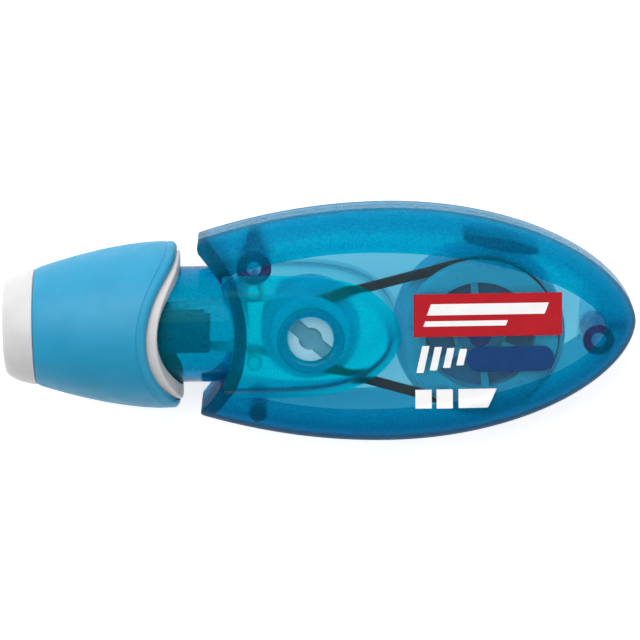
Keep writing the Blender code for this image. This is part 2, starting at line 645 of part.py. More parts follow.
def build_sleeve():
    """Grip over liner, both with the rear edge scooped to nest in the case."""
    corner_x = SLEEVE_REAR_X - GRIP_THICKNESS
    outer = []
    for step in range(EDGE_ROUNDS + 1):
        turn = math.pi / 2 * step / EDGE_ROUNDS
        outer.append((SLEEVE_RADIUS - GRIP_THICKNESS * (1 - math.sin(turn)),
                      corner_x + GRIP_THICKNESS * math.cos(turn)))
    scoop_x = SLEEVE_EDGE_CENTRE_X - GRIP_EDGE_RADIUS
    stations = [SLEEVE_WIDEST_X]
    stations += [scoop_x + (GRIP_FRONT_X - scoop_x) * step / GRIP_STATIONS
                 for step in range(GRIP_STATIONS + 1)]
    outer += [(grip_radius(x), x) for x in stations]
    inner = [(grip_radius(x) - GRIP_THICKNESS, x) for x in reversed(stations)]
    grip = turned("sleeve_grip", outer + inner, SLEEVE_AXIS, "grip_blue", along_x=True)

    shell_outer = [(SLEEVE_RADIUS - GRIP_THICKNESS - GAP, LINER_REAR_X)]
    shell_outer += [(grip_radius(x) - GRIP_THICKNESS - GAP, x) for x in stations]
    shell_outer[-1] = (shell_outer[-1][0], GRIP_FRONT_X)
    shell_outer += [(shell_outer[-1][0], NOSE_BACK_X), (NOSE_BACK_RADIUS, NOSE_BACK_X)]
    for step in range(1, EDGE_ROUNDS + 1):
        turn = math.pi / 2 * step / EDGE_ROUNDS
        shell_outer.append((NOSE_BACK_RADIUS - (NOSE_BACK_RADIUS - NOSE_TIP_RADIUS) * (1 - math.cos(turn)),
                            NOSE_BACK_X + (NOSE_TIP_X - NOSE_BACK_X) * math.sin(turn)))
    shoulder_back = CARRIER_BACK_X + GAP + STOP_LENGTH
    bore = [(NOSE_OPENING, NOSE_TIP_X), (NOSE_OPENING, NOSE_TIP_X + NOSE_LIP),
            (LINER_FRONT_BORE, NOSE_TIP_X + NOSE_LIP), (LINER_FRONT_BORE, CARRIER_FRONT_X - GAP),
            (CARRIER_RADIUS + GAP, CARRIER_FRONT_X - GAP), (CARRIER_RADIUS + GAP, CARRIER_BACK_X + GAP),
            (STOP_BORE, CARRIER_BACK_X + GAP), (STOP_BORE, shoulder_back),
            (LINER_BORE, shoulder_back), (LINER_BORE, LINER_REAR_X)]
    liner = turned("sleeve_liner", shell_outer + bore, SLEEVE_AXIS, "white_plastic", along_x=True)

    reach = SLEEVE_RADIUS + MM
    for obj, radius in ((grip, GRIP_EDGE_RADIUS), (liner, LINER_EDGE_RADIUS)):
        scoop = rod(obj.name + "_scoop", (SLEEVE_EDGE_CENTRE_X, 0), radius, -reach, reach, ASSEMBLY,
                    steps=ARC_STEPS)
        boolean(obj, "DIFFERENCE", scoop)

    ring = disc_profile(LINER_FRONT_BORE, CARRIER_RADIUS, CARRIER_FRONT_X, CARRIER_BACK_X)
    carrier = turned("sleeve_carrier", ring, SLEEVE_AXIS, "white_plastic", along_x=True)
    for side in (-1, 1):
        low, high = sorted((side * KEY_INNER, side * (LINER_FRONT_BORE + GAP)))
        key = box(f"carrier_key_{side}", (CARRIER_FRONT_X + GAP, -KEY_HALF, low),
                  (CARRIER_BACK_X - GAP, KEY_HALF, high), ASSEMBLY)
        boolean(carrier, "UNION", key)


# ---------------------------------------------------------------- spools, pulleys and belt

def build_supply_stack():
    bottom, top = SUPPLY_FLANGE
    bore = SUPPLY_POST + GAP
    hub = [(HUB_RADIUS, TAPE_HALF_WIDTH), (HUB_RADIUS, top), (SPOOL_FLANGE_RADIUS, top),
           (SPOOL_FLANGE_RADIUS, bottom), (bore, bottom), (bore, HUB_FLOOR), (HUB_BORE, HUB_FLOOR),
           (HUB_BORE, TAPE_HALF_WIDTH)]
    turned("supply_spool", hub, SUPPLY_AXIS, "spool_blue", steps=WIDE_STEPS)
    core = disc_profile(CORE_INNER, CORE_OUTER, -TAPE_HALF_WIDTH, TAPE_HALF_WIDTH)
    turned("tape_core", core, SUPPLY_AXIS, "white_plastic")
    roll = disc_profile(ROLL_BORE, ROLL_RADIUS, -TAPE_HALF_WIDTH, TAPE_HALF_WIDTH)
    turned("correction_tape_roll", roll, SUPPLY_AXIS, "tape_white", steps=WIDE_STEPS)
    ring = disc_profile(CLUTCH_INNER, CLUTCH_OUTER, CLUTCH_BOTTOM, TAPE_HALF_WIDTH)
    turned("clutch_ring", ring, SUPPLY_AXIS, "belt_black")

    groove = BELT_SUPPLY_RADIUS - BELT_THICKNESS / 2 - GAP
    rim = [(PULLEY_RIM_OUTER, PULLEY_TOP), (PULLEY_RIM_OUTER, PULLEY_GROOVE_TOP), (groove, PULLEY_GROOVE_TOP),
           (groove, PULLEY_FLANGE_TOP), (SPOOL_FLANGE_RADIUS, PULLEY_FLANGE_TOP),
           (SPOOL_FLANGE_RADIUS, PULLEY_BOTTOM), (bore, PULLEY_BOTTOM), (bore, PULLEY_HUB_TOP),
           (PULLEY_HUB_RADIUS, PULLEY_HUB_TOP), (PULLEY_HUB_RADIUS, PULLEY_WEB_TOP),
           (PULLEY_RIM_INNER, PULLEY_WEB_TOP), (PULLEY_RIM_INNER, PULLEY_TOP)]
    pulley = turned("drive_pulley", rim, SUPPLY_AXIS, "spool_blue", steps=WIDE_STEPS)
    for number in range(SPOKES):
        spoke = box(f"spoke_{number}", (SPOKE_START, -SPOKE_HALF_WIDTH, SPOKE_BOTTOM),
                    (SPOKE_END, SPOKE_HALF_WIDTH, SPOKE_TOP), SUPPLY_AXIS)
        spoke.rotation_euler = (0, 0, 2 * math.pi / SPOKES * number)
        boolean(pulley, "UNION", spoke)
    clip = disc_profile(CLIP_POST + GAP, CLIP_RADIUS, PULLEY_GROOVE_TOP, PULLEY_TOP)
    turned("pulley_clip", clip, SUPPLY_AXIS, "white_plastic", steps=CLIP_STEPS)


def build_take_up_stack():
    flange = TAKE_UP_FLANGE_RADIUS
    bore = TAKE_UP_POST + GAP
    foot, floor, ceiling, top = TAKE_UP_FLANGES
    spool = [(flange, top), (flange, ceiling), (TAKE_UP_HUB, ceiling), (TAKE_UP_HUB, floor), (flange, floor),
             (flange, foot), (bore, foot), (bore, top)]
    turned("take_up_spool", spool, TAKE_UP_AXIS, "spool_blue")
    film = disc_profile(FILM_ROLL_BORE, FILM_ROLL_RADIUS, -TAPE_HALF_WIDTH, TAPE_HALF_WIDTH)
    turned("used_film_roll", film, TAKE_UP_AXIS, "film")
    groove = BELT_TAKE_UP_RADIUS - BELT_THICKNESS / 2 - GAP
    pulley = [(TAKE_UP_PULLEY_RIM, PULLEY_TOP), (TAKE_UP_PULLEY_RIM, PULLEY_GROOVE_TOP),
              (groove, PULLEY_GROOVE_TOP), (groove, PULLEY_WEB_TOP), (bore, PULLEY_WEB_TOP),
              (bore, PULLEY_TOP)]
    turned("take_up_pulley", pulley, TAKE_UP_AXIS, "spool_blue")
    disc = [(0, KNOB_TOP), (KNOB_RADIUS, KNOB_TOP), (KNOB_RADIUS, KNOB_BOTTOM), (KNOB_STEM, KNOB_BOTTOM),
            (KNOB_STEM, KNOB_STEM_BOTTOM), (0, KNOB_STEM_BOTTOM)]
    knob = turned("tension_knob", disc, TAKE_UP_AXIS, "knob", closed=False)
    floor = KNOB_TOP - KNOB_SLOT_DEPTH
    slot = box("knob_slot", (-KNOB_RADIUS - MM, -KNOB_SLOT_HALF, floor),
               (KNOB_RADIUS + MM, KNOB_SLOT_HALF, KNOB_TOP + MM), TAKE_UP_AXIS)
    slot.rotation_euler = (0, 0, KNOB_SLOT_TURN)
    eye = rod("knob_eye", (0, 0), KNOB_EYE, floor, KNOB_TOP + MM, TAKE_UP_AXIS, steps=CLIP_STEPS)
    boolean(knob, "DIFFERENCE", slot)
    boolean(knob, "DIFFERENCE", eye)


def build_belt():
    loops = []
    for offset in (BELT_THICKNESS / 2, -BELT_THICKNESS / 2):
        stops = [(SUPPLY_X, SUPPLY_Y, BELT_SUPPLY_RADIUS + offset, 1),
                 (TAKE_UP_X, TAKE_UP_Y, BELT_TAKE_UP_RADIUS + offset, 1)]
        loops.append(wrap_path(stops, BELT_ARC, closed=True))
    flat("drive_belt", loops, BELT_BOTTOM, BELT_TOP, ASSEMBLY, "belt_black")


def build_tape_runs():
    """Tape from the roll to the blade, and bare film back to the take-up spool."""
    stops = [(SUPPLY_X, SUPPLY_Y, ROLL_RADIUS + TAPE_OFFSET, -1),
             (GUIDE_X, -GUIDE_Y, GUIDE_RADIUS + TAPE_OFFSET, 1),
             (BLADE_TIP_X, 0, BLADE_TIP_RADIUS + TAPE_OFFSET, -1),
             (GUIDE_X, GUIDE_Y, GUIDE_RADIUS + TAPE_OFFSET, 1),
             (TAKE_UP_X, TAKE_UP_Y, FILM_ROLL_RADIUS + TAPE_OFFSET, -1)]
    route = wrap_path(stops, TAPE_ARC)
    edge = min(range(len(route)), key=lambda index: route[index][0])
    ribbon("feed_tape", route[:edge + 1], ASSEMBLY, "tape_white")
    ribbon("return_film", route[edge + 1:], ASSEMBLY, "film")


clear_scene()
PARTS = new_collection("correction_tape_roller")
CUTTERS = new_collection("cutters")
MATERIALS = {name: new_material(name) for name in COLOURS}
AXIS_HEIGHT = grip_radius(SLEEVE_EDGE_CENTRE_X - GRIP_EDGE_RADIUS)
ASSEMBLY = new_empty("assembly", (0, 0, AXIS_HEIGHT))
SLEEVE_AXIS = new_empty("sleeve_axis", (0, 0, 0), ASSEMBLY)
SUPPLY_AXIS = new_empty("supply_axis", (SUPPLY_X, SUPPLY_Y, 0), ASSEMBLY)
TAKE_UP_AXIS = new_empty("take_up_axis", (TAKE_UP_X, TAKE_UP_Y, 0), ASSEMBLY)

TOOLS = case_tools()
build_front_shell(TOOLS)
build_rear_shell(TOOLS)
build_tip_holder()
build_tip_blade()
build_sleeve()
build_supply_stack()
build_take_up_stack()
build_belt()
build_tape_runs()
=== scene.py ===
"""Looks of the pocket correction tape roller: fine shells, sleeve, spools, print and materials.

Lengths are in metres. X runs from the nose to the tail, Z is the normal of the wide face, and
AXIS is the height of the sleeve's axis. Small parts are laid out around that axis.
"""
import math

import bmesh
import bpy
from mathutils import Matrix, Vector
from mathutils.bvhtree import BVHTree


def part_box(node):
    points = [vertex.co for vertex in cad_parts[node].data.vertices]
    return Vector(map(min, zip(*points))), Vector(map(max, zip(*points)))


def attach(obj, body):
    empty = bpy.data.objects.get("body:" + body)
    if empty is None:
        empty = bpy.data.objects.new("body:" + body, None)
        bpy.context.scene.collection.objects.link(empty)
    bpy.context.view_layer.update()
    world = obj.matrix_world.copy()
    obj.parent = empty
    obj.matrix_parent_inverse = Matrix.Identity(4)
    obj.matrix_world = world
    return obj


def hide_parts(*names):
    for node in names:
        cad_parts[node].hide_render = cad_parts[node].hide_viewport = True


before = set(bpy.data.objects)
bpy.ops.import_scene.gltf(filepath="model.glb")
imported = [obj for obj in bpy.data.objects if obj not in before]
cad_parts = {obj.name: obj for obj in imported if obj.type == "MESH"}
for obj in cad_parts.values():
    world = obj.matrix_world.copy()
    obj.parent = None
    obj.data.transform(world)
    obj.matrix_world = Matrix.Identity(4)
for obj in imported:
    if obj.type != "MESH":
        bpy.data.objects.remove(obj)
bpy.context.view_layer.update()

MM = 0.001
WELD_DISTANCE = 1e-6
AXIS = (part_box("tip_holder")[0].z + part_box("tip_holder")[1].z) / 2
SUPPLY = (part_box("supply_spool")[0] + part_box("supply_spool")[1]) / 2
TAKE_UP = (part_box("take_up_spool")[0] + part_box("take_up_spool")[1]) / 2
NOSE_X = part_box("sleeve_liner")[0].x
TAIL_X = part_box("front_shell")[1].x

# Case outline. It follows the CAD model, with a shallower and slightly wider rim.
# The outlines of the rim and the panel give the widest place, the half height there, the reaches to the
# front and the tail, and the power that shapes the tail.
CASE_WIDEST_X = 11.0 * MM
RIM_OUTLINE = (CASE_WIDEST_X, 19.9 * MM, 62.6 * MM, TAIL_X - CASE_WIDEST_X, 1.14)
PANEL_OUTLINE = (8.0 * MM, 14.2 * MM, 46.0 * MM, 40.0 * MM, 1.2)
CASE_FRONT_X = -24.0 * MM
RIM_HALF_DEPTH = 2.3 * MM
PANEL_HALF_DEPTH = 7.0 * MM
PANEL_RECESS = 0.3 * MM
PANEL_CHAMFER = 0.85 * MM
WALL = 1.2 * MM
RIM_WALL = 0.85 * MM
CAVITY_SHIFT = 0.3 * MM
FRONT_WALL = 2.3 * MM
SADDLE_CENTRE_X = -33.0 * MM
SADDLE_RADIUS = 18.7 * MM
PARTING_GAP = 0.06 * MM
HUMP_START_X = -16.0 * MM
HUMP_LENGTH = 29.3 * MM
HUMP_HALF_WIDTH = 10.3 * MM
HUMP_TOP = 9.65 * MM
HUMP_WALL = 0.6 * MM
NECK_RADIUS = 9.67 * MM
NECK_WALL = 1.25 * MM
NECK_STEP_X = -29.5 * MM
NECK_END_X = -12.0 * MM
FRONT_NECK_RADIUS = 6.8 * MM
FRONT_NECK_BORE = 5.6 * MM
FRONT_NECK_X = -42.0 * MM
KEYWAY_HALF = 1.1 * MM
KEYWAY_END_X = -30.2 * MM
KEYWAY_REACH = 12 * MM
HALF_REACH = 80 * MM
HALF_HEIGHT = 25 * MM

# Locating bosses as (x, y, radius).
BOSSES = (
    (-10.7 * MM, 10.8 * MM, 2.85 * MM),
    (-10.5 * MM, -14.1 * MM, 1.5 * MM),
    (46.0 * MM, -2.3 * MM, 2.6 * MM),
)

SHOULDER_STEPS = 14
TAIL_STEPS = 56
FRONT_STEPS = 26
ROUND_STEPS = 128
FINE_STEPS = 256
TUBE_STEPS = 64
SMOOTH_ANGLE = 35
SLEEVE_SMOOTH_ANGLE = 40
CORNER_SHARE = 0.45
NORMAL_WEIGHT = 60

# Skins of the case's plastic: how frosted, how sparkling and how deeply tinted each one is.
FROSTED, CLEAR, SPARKLE, RIM, NECK, SOFT, HUMP, REAR_HUMP = range(8)
SKINS = ((1.0, 0.0, 1.0), (0.0, 0.0, 0.0), (0.36, 1.0, 0.85), (0.5, 0.0, 0.9),
         (0.15, 0.0, 0.7), (0.1, 0.0, 0.0), (0.66, 0.0, 0.56), (0.8, 0.0, 0.15))

# Case plastic: tint of its depth, tints of its skin, the colour of its painted shade, and reflection kept low
# and blue.
CASE_TINT = (0.0, 0.712, 0.850)
CASE_DENSITY = 1040.0
DEEP_TINT_DARK = (0.0, 0.34, 0.57)
DEEP_TINT_LIGHT = (0.0, 0.68, 0.88)
SHADE_TINT = (0.0, 0.22, 0.40)
CYAN_RATE = 4.0
FROST_ROUGHNESS = (0.42, 0.55)
GRAIN_DEPTH = 0.012 * MM
FLECK_DEPTH = 0.22 * MM
FLOW_DEPTH = 0.02 * MM
CASE_IOR = 1.17
CASE_REFLECTION = 0.4
CASE_THROUGH = 0.98
CASE_THROUGH_DEEP_LOSS = 0.12
INNER_IOR = 1.22
INNER_REFLECTION = 0.15
REFLECTION_TINT = (0.3, 0.85, 1.0, 1)
OPAQUE_REFLECTION = 0.35
SUBSURFACE_DEPTH = 0.8 * MM

# Painted shade of the border: darkest along the lower side, the tail and the front.
SHADE_LEAST = 0.3
SHADE_SPAN = 19.0 * MM
SHADE_MOST = 0.62
FRONT_SHADE_FROM = -4.0 * MM
FRONT_SHADE_SPAN = 12.0 * MM
FRONT_SHADE_MOST = 0.5
TAIL_SHADE_FROM = 26.0 * MM
TAIL_SHADE_SPAN = 24.0 * MM
TAIL_SHADE_MOST = 0.6
LOWER_RIM_SHADE = 1.0
UPPER_RIM_SHADE = 0.35

# Parts of the case. Angles are in degrees, and heights are from the sleeve's axis.
HUMP_FULLNESS = 4.5
HUMP_TAIL_POWER = 0.6
HUMP_FOOT = PANEL_HALF_DEPTH - PANEL_RECESS - 0.2 * MM
HUMP_TAIL_EASE = 0.8
LOBE_TIP = Vector((-21.1 * MM, 14.45 * MM))
LOBE_RIM_HEADING = 17.8
LOBE_SADDLE_HEADING = -39.5
LOBE_OPENING = 57.3
LOBE_ROUNDING = 1.0 * MM
CUT_REACH = 16 * MM
NECK_ROUNDING = 0.3 * MM
PARTITION_INNER = 18.9 * MM
PARTITION_OUTER = 20.9 * MM
PARTITION_TURN = 27
PARTITION_LOW = 3.3 * MM
PARTITION_HIGH = 8.9 * MM
KNOB_HOLE_RADIUS = 4.2 * MM
BOSS_BORE = 1.2 * MM
PIN_RADIUS_MOST = 2 * MM
GUIDE_X = -11 * MM
GUIDE_Y = 6.1 * MM
GUARD_CENTRE = Vector((30.0 * MM, 13.75 * MM))
GUARD_HALF_LENGTH = 6.4 * MM
GUARD_HALF_WIDTH = 1.05 * MM
GUARD_TILT = -12

# Spool posts as (axis, radius, bottom, top) and ribs as (low corner, high corner), in millimetres.
POSTS = ((SUPPLY, 3.5, -6.3, -3.9), (SUPPLY, 2.4, -4.5, 4.9), (SUPPLY, 1.6, 4.0, 5.5),
         (TAKE_UP, 2.6, -9.0, -3.6), (TAKE_UP, 1.5, -4.5, 2.9))
RIBS = (((-11.1, -16.8, -4.6), (-9.9, -14.7, -0.6)), ((48.2, -2.65, -4.6), (51.2, -1.05, -0.6)))

# Plans of blocks inside the case, as (x, y) in millimetres, and their heights.
FRONT_GUSSET = ((-12.7, 12.6), (-8.7, 12.6), (-9.9, 16.6), (-11.5, 16.4))
REAR_GUSSET = ((-12.7, 12.6), (-8.7, 12.6), (-9.9, 17.0), (-11.5, 16.8))
TAIL_PAD = ((43.9, 5.0), (43.2, -5.4), (47.4, -2.6), (47.4, 2.2))
FRONT_GUSSET_HEIGHTS = (0.5 * MM, 3.4 * MM)
REAR_GUSSET_HEIGHTS = (-5.2 * MM, -0.6 * MM)
TAIL_PAD_HEIGHTS = (-6.1 * MM, -4.7 * MM)
GUARD_HEIGHTS = (-5.4 * MM, 4.5 * MM)
FRONT_BOSS_HEIGHTS = (-0.15 * MM, 5.9 * MM)
REAR_BOSS_HEIGHTS = (-5.9 * MM, -0.5 * MM)

# Profiles of turned parts, as (radius, height) in millimetres.
COLLAR_PROFILE = ((4.1, 8.5), (5.3, 8.5), (5.7, 9.2), (5.4, 9.95), (4.1, 9.95))
GUIDE_PROFILE = ((1.08, 3.2), (1.2, 3.2), (1.2, -9.0), (1.08, -9.0))
SUPPLY_PROFILE = ((6.2, 2.5), (6.2, -2.9), (14.2, -2.9), (14.2, -3.6), (2.7, -3.6), (2.7, 1.2),
                  (4.9, 1.2), (4.9, 2.5))
ROLL_PROFILE = ((13.0, 2.5), (13.0, -2.5), (7.6, -2.5), (7.6, 2.5))
CORE_PROFILE = ((7.3, 2.5), (7.3, -2.5), (6.5, -2.5), (6.5, 2.5))
BELT_WHEEL_PROFILE = ((13.0, 5.2), (13.0, 4.9), (11.7, 4.9), (11.7, 3.2), (14.2, 3.2), (14.2, 2.8),
                      (2.7, 2.8), (2.7, 4.6), (4.4, 4.6), (4.4, 3.3), (8.9, 3.3), (9.1, 5.4),
                      (12.3, 5.4), (12.5, 5.2))
WEB_PROFILE = ((8.8, 3.46), (8.8, 3.34), (4.5, 3.34), (4.5, 3.46))
TAKE_UP_PROFILE = ((8.2, 3.2), (8.2, 2.8), (4.4, 2.8), (4.4, -2.8), (8.2, -2.8), (8.2, -3.3),
                   (1.8, -3.3), (1.8, 3.2))
FILM_WHEEL_PROFILE = ((6.6, 5.4), (6.6, 5.0), (4.3, 5.0), (4.3, 3.5), (1.8, 3.5), (1.8, 5.4))
KNOB_PROFILE = ((0, 8.2), (3.9, 8.2), (3.9, 7.0), (2.5, 7.0), (2.5, 5.7), (0, 5.7))

# Tip holder: plan of its spine, and corners of its blocks, in millimetres.
HOLDER_SPINE = ((-18.3, -1.0), (-18.3, 1.0), (-27.5, 1.0), (-29.0, 2.4), (-42.0, 1.1),
                (-42.0, -1.1), (-29.0, -2.4), (-27.5, -1.0))
HOLDER_HALF_DEPTH = 3.2 * MM
HOLDER_WEB = ((-27.0, -0.7, -7), (-19.4, 0.7, 7))
HOLDER_FIN = ((-41.0, -0.8, -5.2), (-30.5, 0.8, 5.2))
HOLDER_CAP = ((-26.4, -2.9), (-18.2, 2.0))
HOLDER_FLANGE = ((-42.0, -3.4), (-29.5, 3.4))

# Sleeve: a gently tapered tube whose rear edge is scooped out round the case.
GRIP_RADIUS = 13.9 * MM
GRIP_TAPER = 1.3 * MM
GRIP_TAPER_FROM = -26.7 * MM
GRIP_TAPER_LENGTH = 10 * MM
GRIP_TAPER_POWER = 1.62
GRIP_FRONT_X = -47.2 * MM
GRIP_THICKNESS = 1.2 * MM
GRIP_EASE = 0.5 * MM
SCOOP_CENTRE_X = -11.0 * MM
SCOOP_SOFTNESS = 0.7 * MM
GRIP_SCOOP_ACROSS = 13.3 * MM
GRIP_SCOOP_RADIUS = 17.5 * MM
GRIP_REAR_X = -23.4 * MM
LINER_SCOOP_ACROSS = 11.6 * MM
LINER_SCOOP_RADIUS = 15.75 * MM
LINER_REAR_X = -22.9 * MM
EDGE_BAND = 2.1 * MM
LINER_INSET = 1.5 * MM
LINER_FRONT_X = -36.9 * MM
LINER_BORE = 10.0 * MM
NOSE_BACK_X = -47.45 * MM
NOSE_RADIUS = 9.63 * MM
NOSE_TAPER = 2.5 * MM
NOSE_POWER = 0.8

# Spools, belt and knob. Angles are in degrees, and corners in millimetres.
SPOKE_COUNT = 6
SPOKE_START = 36
SPOKE_CORNERS = ((4.0, -0.6, 3.0), (9.6, 0.6, 4.9))
SLOT_CORNERS = ((-5, -1.25, 7.35), (5, 1.25, 9))
SLOT_FLOOR_CORNERS = ((-3.75, -1.2, 7.3), (3.75, 1.2, 7.42))
KNOB_SLOT_TURN = -42
KNOB_ROUNDING = 0.3 * MM
BELT_SUPPLY_RADIUS = 12.5 * MM
BELT_TAKE_UP_RADIUS = 5.1 * MM
BELT_HALF_WIDTH = 0.75 * MM
BELT_BOTTOM = 3.5 * MM
BELT_TOP = 4.7 * MM

# Print: its grid follows the case's surface at two small distances.
PRINT_GRID = 0.4 * MM
PRINT_THICKNESS = 0.03 * MM
PRINT_UNDER = 0.07 * MM
PRINT_OVER = 0.14 * MM
RAY_HEIGHT = 20 * MM
CUT_TOLERANCE = 1e-7
INKS = {
    "ink_red": ((0.40, 0.003, 0.010), (0.43, 0.004, 0.012)),
    "ink_blue": ((0.0, 0.035, 0.14), (0.001, 0.04, 0.16)),
    "ink_white": ((0.80, 0.80, 0.80), (0.84, 0.84, 0.84)),
}
INK_ROUGHNESS = (0.35, 0.42)
INK_DEPTH = 0.002 * MM

# Stage, light and camera.
FLOOR_GLOW = 0.55
WORLD_STRENGTH = 0.85
SKY_LEAST = 0.48
SKY_LEVEL = (0.9, 0.9, 0.9, 1)
SKY_TOP = (0.45, 0.45, 0.46, 1)
LIGHT_SIZE = 0.7
LIGHTS = (("key_light", (-0.25, 0.45, 0.55), 5.8), ("fill_light", (0.5, -0.3, 0.5), 1.9))
CAMERA_TIP = 15
CAMERA_ROLL = 0.93
CAMERA_DISTANCE = 0.6
CAMERA_RISE = 0.30 * MM
VIEW_WIDTH = 106.67 * MM
SENSOR_WIDTH = 36


# ---------------------------------------------------------------- small helpers

def in_mm(*points):
    """Points given in millimetres."""
    return [tuple(value * MM for value in point) for point in points]


def at_axis(centre):
    return Vector((centre.x, centre.y, AXIS))


def heading(degrees):
    return Vector((math.cos(math.radians(degrees)), math.sin(math.radians(degrees))))


def link(obj):
    bpy.context.scene.collection.objects.link(obj)
    return obj


def from_bmesh(bm, name, smooth_angle=SMOOTH_ANGLE):
    mesh = bpy.data.meshes.new(name)
    bm.to_mesh(mesh)
    bm.free()
    mesh.shade_smooth()
    mesh.set_sharp_from_angle(angle=math.radians(smooth_angle))
    return link(bpy.data.objects.new(name, mesh))


def closed(bm, name, smooth_angle=SMOOTH_ANGLE, weld=False):
    """Object of a closed body with its faces turned outwards, and doubled vertices welded if asked."""
    if weld:
        bmesh.ops.remove_doubles(bm, verts=bm.verts, dist=WELD_DISTANCE)
    bmesh.ops.recalc_face_normals(bm, faces=bm.faces)
    return from_bmesh(bm, name, smooth_angle)


def applied(obj, smooth_angle=SMOOTH_ANGLE):
    """Bake the modifiers of an object into its mesh."""
    depsgraph = bpy.context.evaluated_depsgraph_get()
    mesh = bpy.data.meshes.new_from_object(obj.evaluated_get(depsgraph))
    mesh.transform(obj.matrix_world)
    obj.modifiers.clear()
    obj.data = mesh
    obj.matrix_world = Matrix.Identity(4)
    mesh.shade_smooth()
    mesh.set_sharp_from_angle(angle=math.radians(smooth_angle))
    return obj


def skinned(obj, index=None):
    """Give a mesh a stand-in slot for each skin, and one skin all over if it is named."""
    for material in STAND_INS:
        obj.data.materials.append(material)
    if index is not None:
        for face in obj.data.polygons:
            face.material_index = index
    return obj


def limited(value):
    return min(1.0, max(0.0, value))


def store_skins(obj):
    """Turn the stand-in slots into a colour attribute that the case's one material reads, with painted shade
    in its alpha.
    """
    colours = []
    for face in obj.data.polygons:
        skin = face.material_index
        shade = 0.0
        # Painted shade on the frosted and sparkling faces, set by where each face lies.
        if skin in (FROSTED, SPARKLE):
            low = limited(-face.center.y / SHADE_SPAN)
            back = limited((face.center.x - TAIL_SHADE_FROM) / TAIL_SHADE_SPAN)
            front = limited((FRONT_SHADE_FROM - face.center.x) / FRONT_SHADE_SPAN)
            shade = max(SHADE_LEAST, SHADE_MOST * math.sqrt(low), TAIL_SHADE_MOST * back,
                        FRONT_SHADE_MOST * front)
        if skin == HUMP and face.center.z < AXIS:
            skin = REAR_HUMP
        # Painted shade on the rim: full on the lower side, lighter on the upper side.
        if skin == RIM:
            shade = LOWER_RIM_SHADE if face.center.y < 0 else UPPER_RIM_SHADE
            if face.center.z > AXIS and face.center.y > 0:
                skin = SPARKLE
        colours += [*SKINS[skin], shade] * face.loop_total
    obj.data.materials.clear()
    attribute = obj.data.attributes.new("skin", "FLOAT_COLOR", "CORNER")
    attribute.data.foreach_set("color", colours)


def boolean(obj, operation, tool):
    modifier = obj.modifiers.new(operation.lower(), "BOOLEAN")
    modifier.operation = operation
    modifier.object = tool
    modifier.solver = "EXACT"
    modifier.material_mode = "INDEX"


def remove(*objects):
    for obj in objects:
        bpy.data.objects.remove(obj)


def piece(obj, body, slot, material, *replaced):
    """Give a finished object its material and body, and hide the CAD nodes it stands for; the slot is not
    used.
    """
    obj.data.materials.clear()
    obj.data.materials.append(material)
    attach(obj, body)
    if replaced:
        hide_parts(*replaced)
    return obj


def bridge(bm, rings, loop=True, index=None):
    """Quads between successive rings of vertices."""
    for number, (first, second) in enumerate(zip(rings, rings[1:])):
        count = len(first) if loop else len(first) - 1
        for corner in range(count):
            after = (corner + 1) % len(first)
            face = bm.faces.new((first[corner], first[after], second[after], second[corner]))
            if index:
                face.material_index = index(number, corner)


def revolve(name, profile, centre, along_x=False, steps=ROUND_STEPS, smooth_angle=SMOOTH_ANGLE):
    """Closed body turned from a closed loop of (radius, height) points round the centre."""
    bm = bmesh.new()
    rings = []
    for step in range(steps):
        turn = 2 * math.pi * step / steps
        ring = []
        for radius, height in profile:
            across = radius * math.cos(turn)
            other = radius * math.sin(turn)
            point = (height, across, other) if along_x else (across, other, height)
            ring.append(bm.verts.new(Vector(point) + centre))
        rings.append(ring)
    rings.append(rings[0])
    bridge(bm, rings)
    return closed(bm, name, smooth_angle, weld=True)


def rounded(points, radius, steps=4):
    """Closed (x, y) loop with every corner rounded as far as its sides allow."""
    result = []
    count = len(points)
    for index in range(count):
        before = Vector(points[index - 1])
        corner = Vector(points[index])
        after = Vector(points[(index + 1) % count])
        to_before = before - corner
        to_after = after - corner
        reach = min(radius, to_before.length * CORNER_SHARE, to_after.length * CORNER_SHARE)
        start = corner + to_before.normalized() * reach
        end = corner + to_after.normalized() * reach
        for step in range(steps + 1):
            along = step / steps
            point = start.lerp(corner, along).lerp(corner.lerp(end, along), along)
            result.append((point.x, point.y))
    return result


def on_axis(profile, rounding):
    """Pull the points next to the axis, which the rounding has moved, back onto it."""
    return [(radius if radius > rounding * 1.03 else 0, height) for radius, height in profile]


def cylinder(name, x, y, radius, bottom, top, steps=TUBE_STEPS):
    bm = bmesh.new()
    bmesh.ops.create_cone(bm, cap_ends=True, segments=steps, radius1=radius, radius2=radius,
                          depth=top - bottom)
    bmesh.ops.translate(bm, verts=bm.verts, vec=(x, y, AXIS + (top + bottom) / 2))
    return from_bmesh(bm, name)


def box(name, low, high):
    bm = bmesh.new()
    bmesh.ops.create_cube(bm, size=1.0)
    for vert in bm.verts:
        for axis in range(3):
            vert.co[axis] = low[axis] + (vert.co[axis] + 0.5) * (high[axis] - low[axis])
    bmesh.ops.translate(bm, verts=bm.verts, vec=(0, 0, AXIS))
    return from_bmesh(bm, name)


def arc_corners(low, high, radius, steps=8):
    """Rounded rectangle between two corners."""
    corners = ((high[0] - radius, high[1] - radius, 0), (low[0] + radius, high[1] - radius, 1),
               (low[0] + radius, low[1] + radius, 2), (high[0] - radius, low[1] + radius, 3))
    points = []
    for x, y, quarter in corners:
        for step in range(steps + 1):
            angle = math.pi / 2 * (quarter + step / steps)
            points.append((x + radius * math.cos(angle), y + radius * math.sin(angle)))
    return points


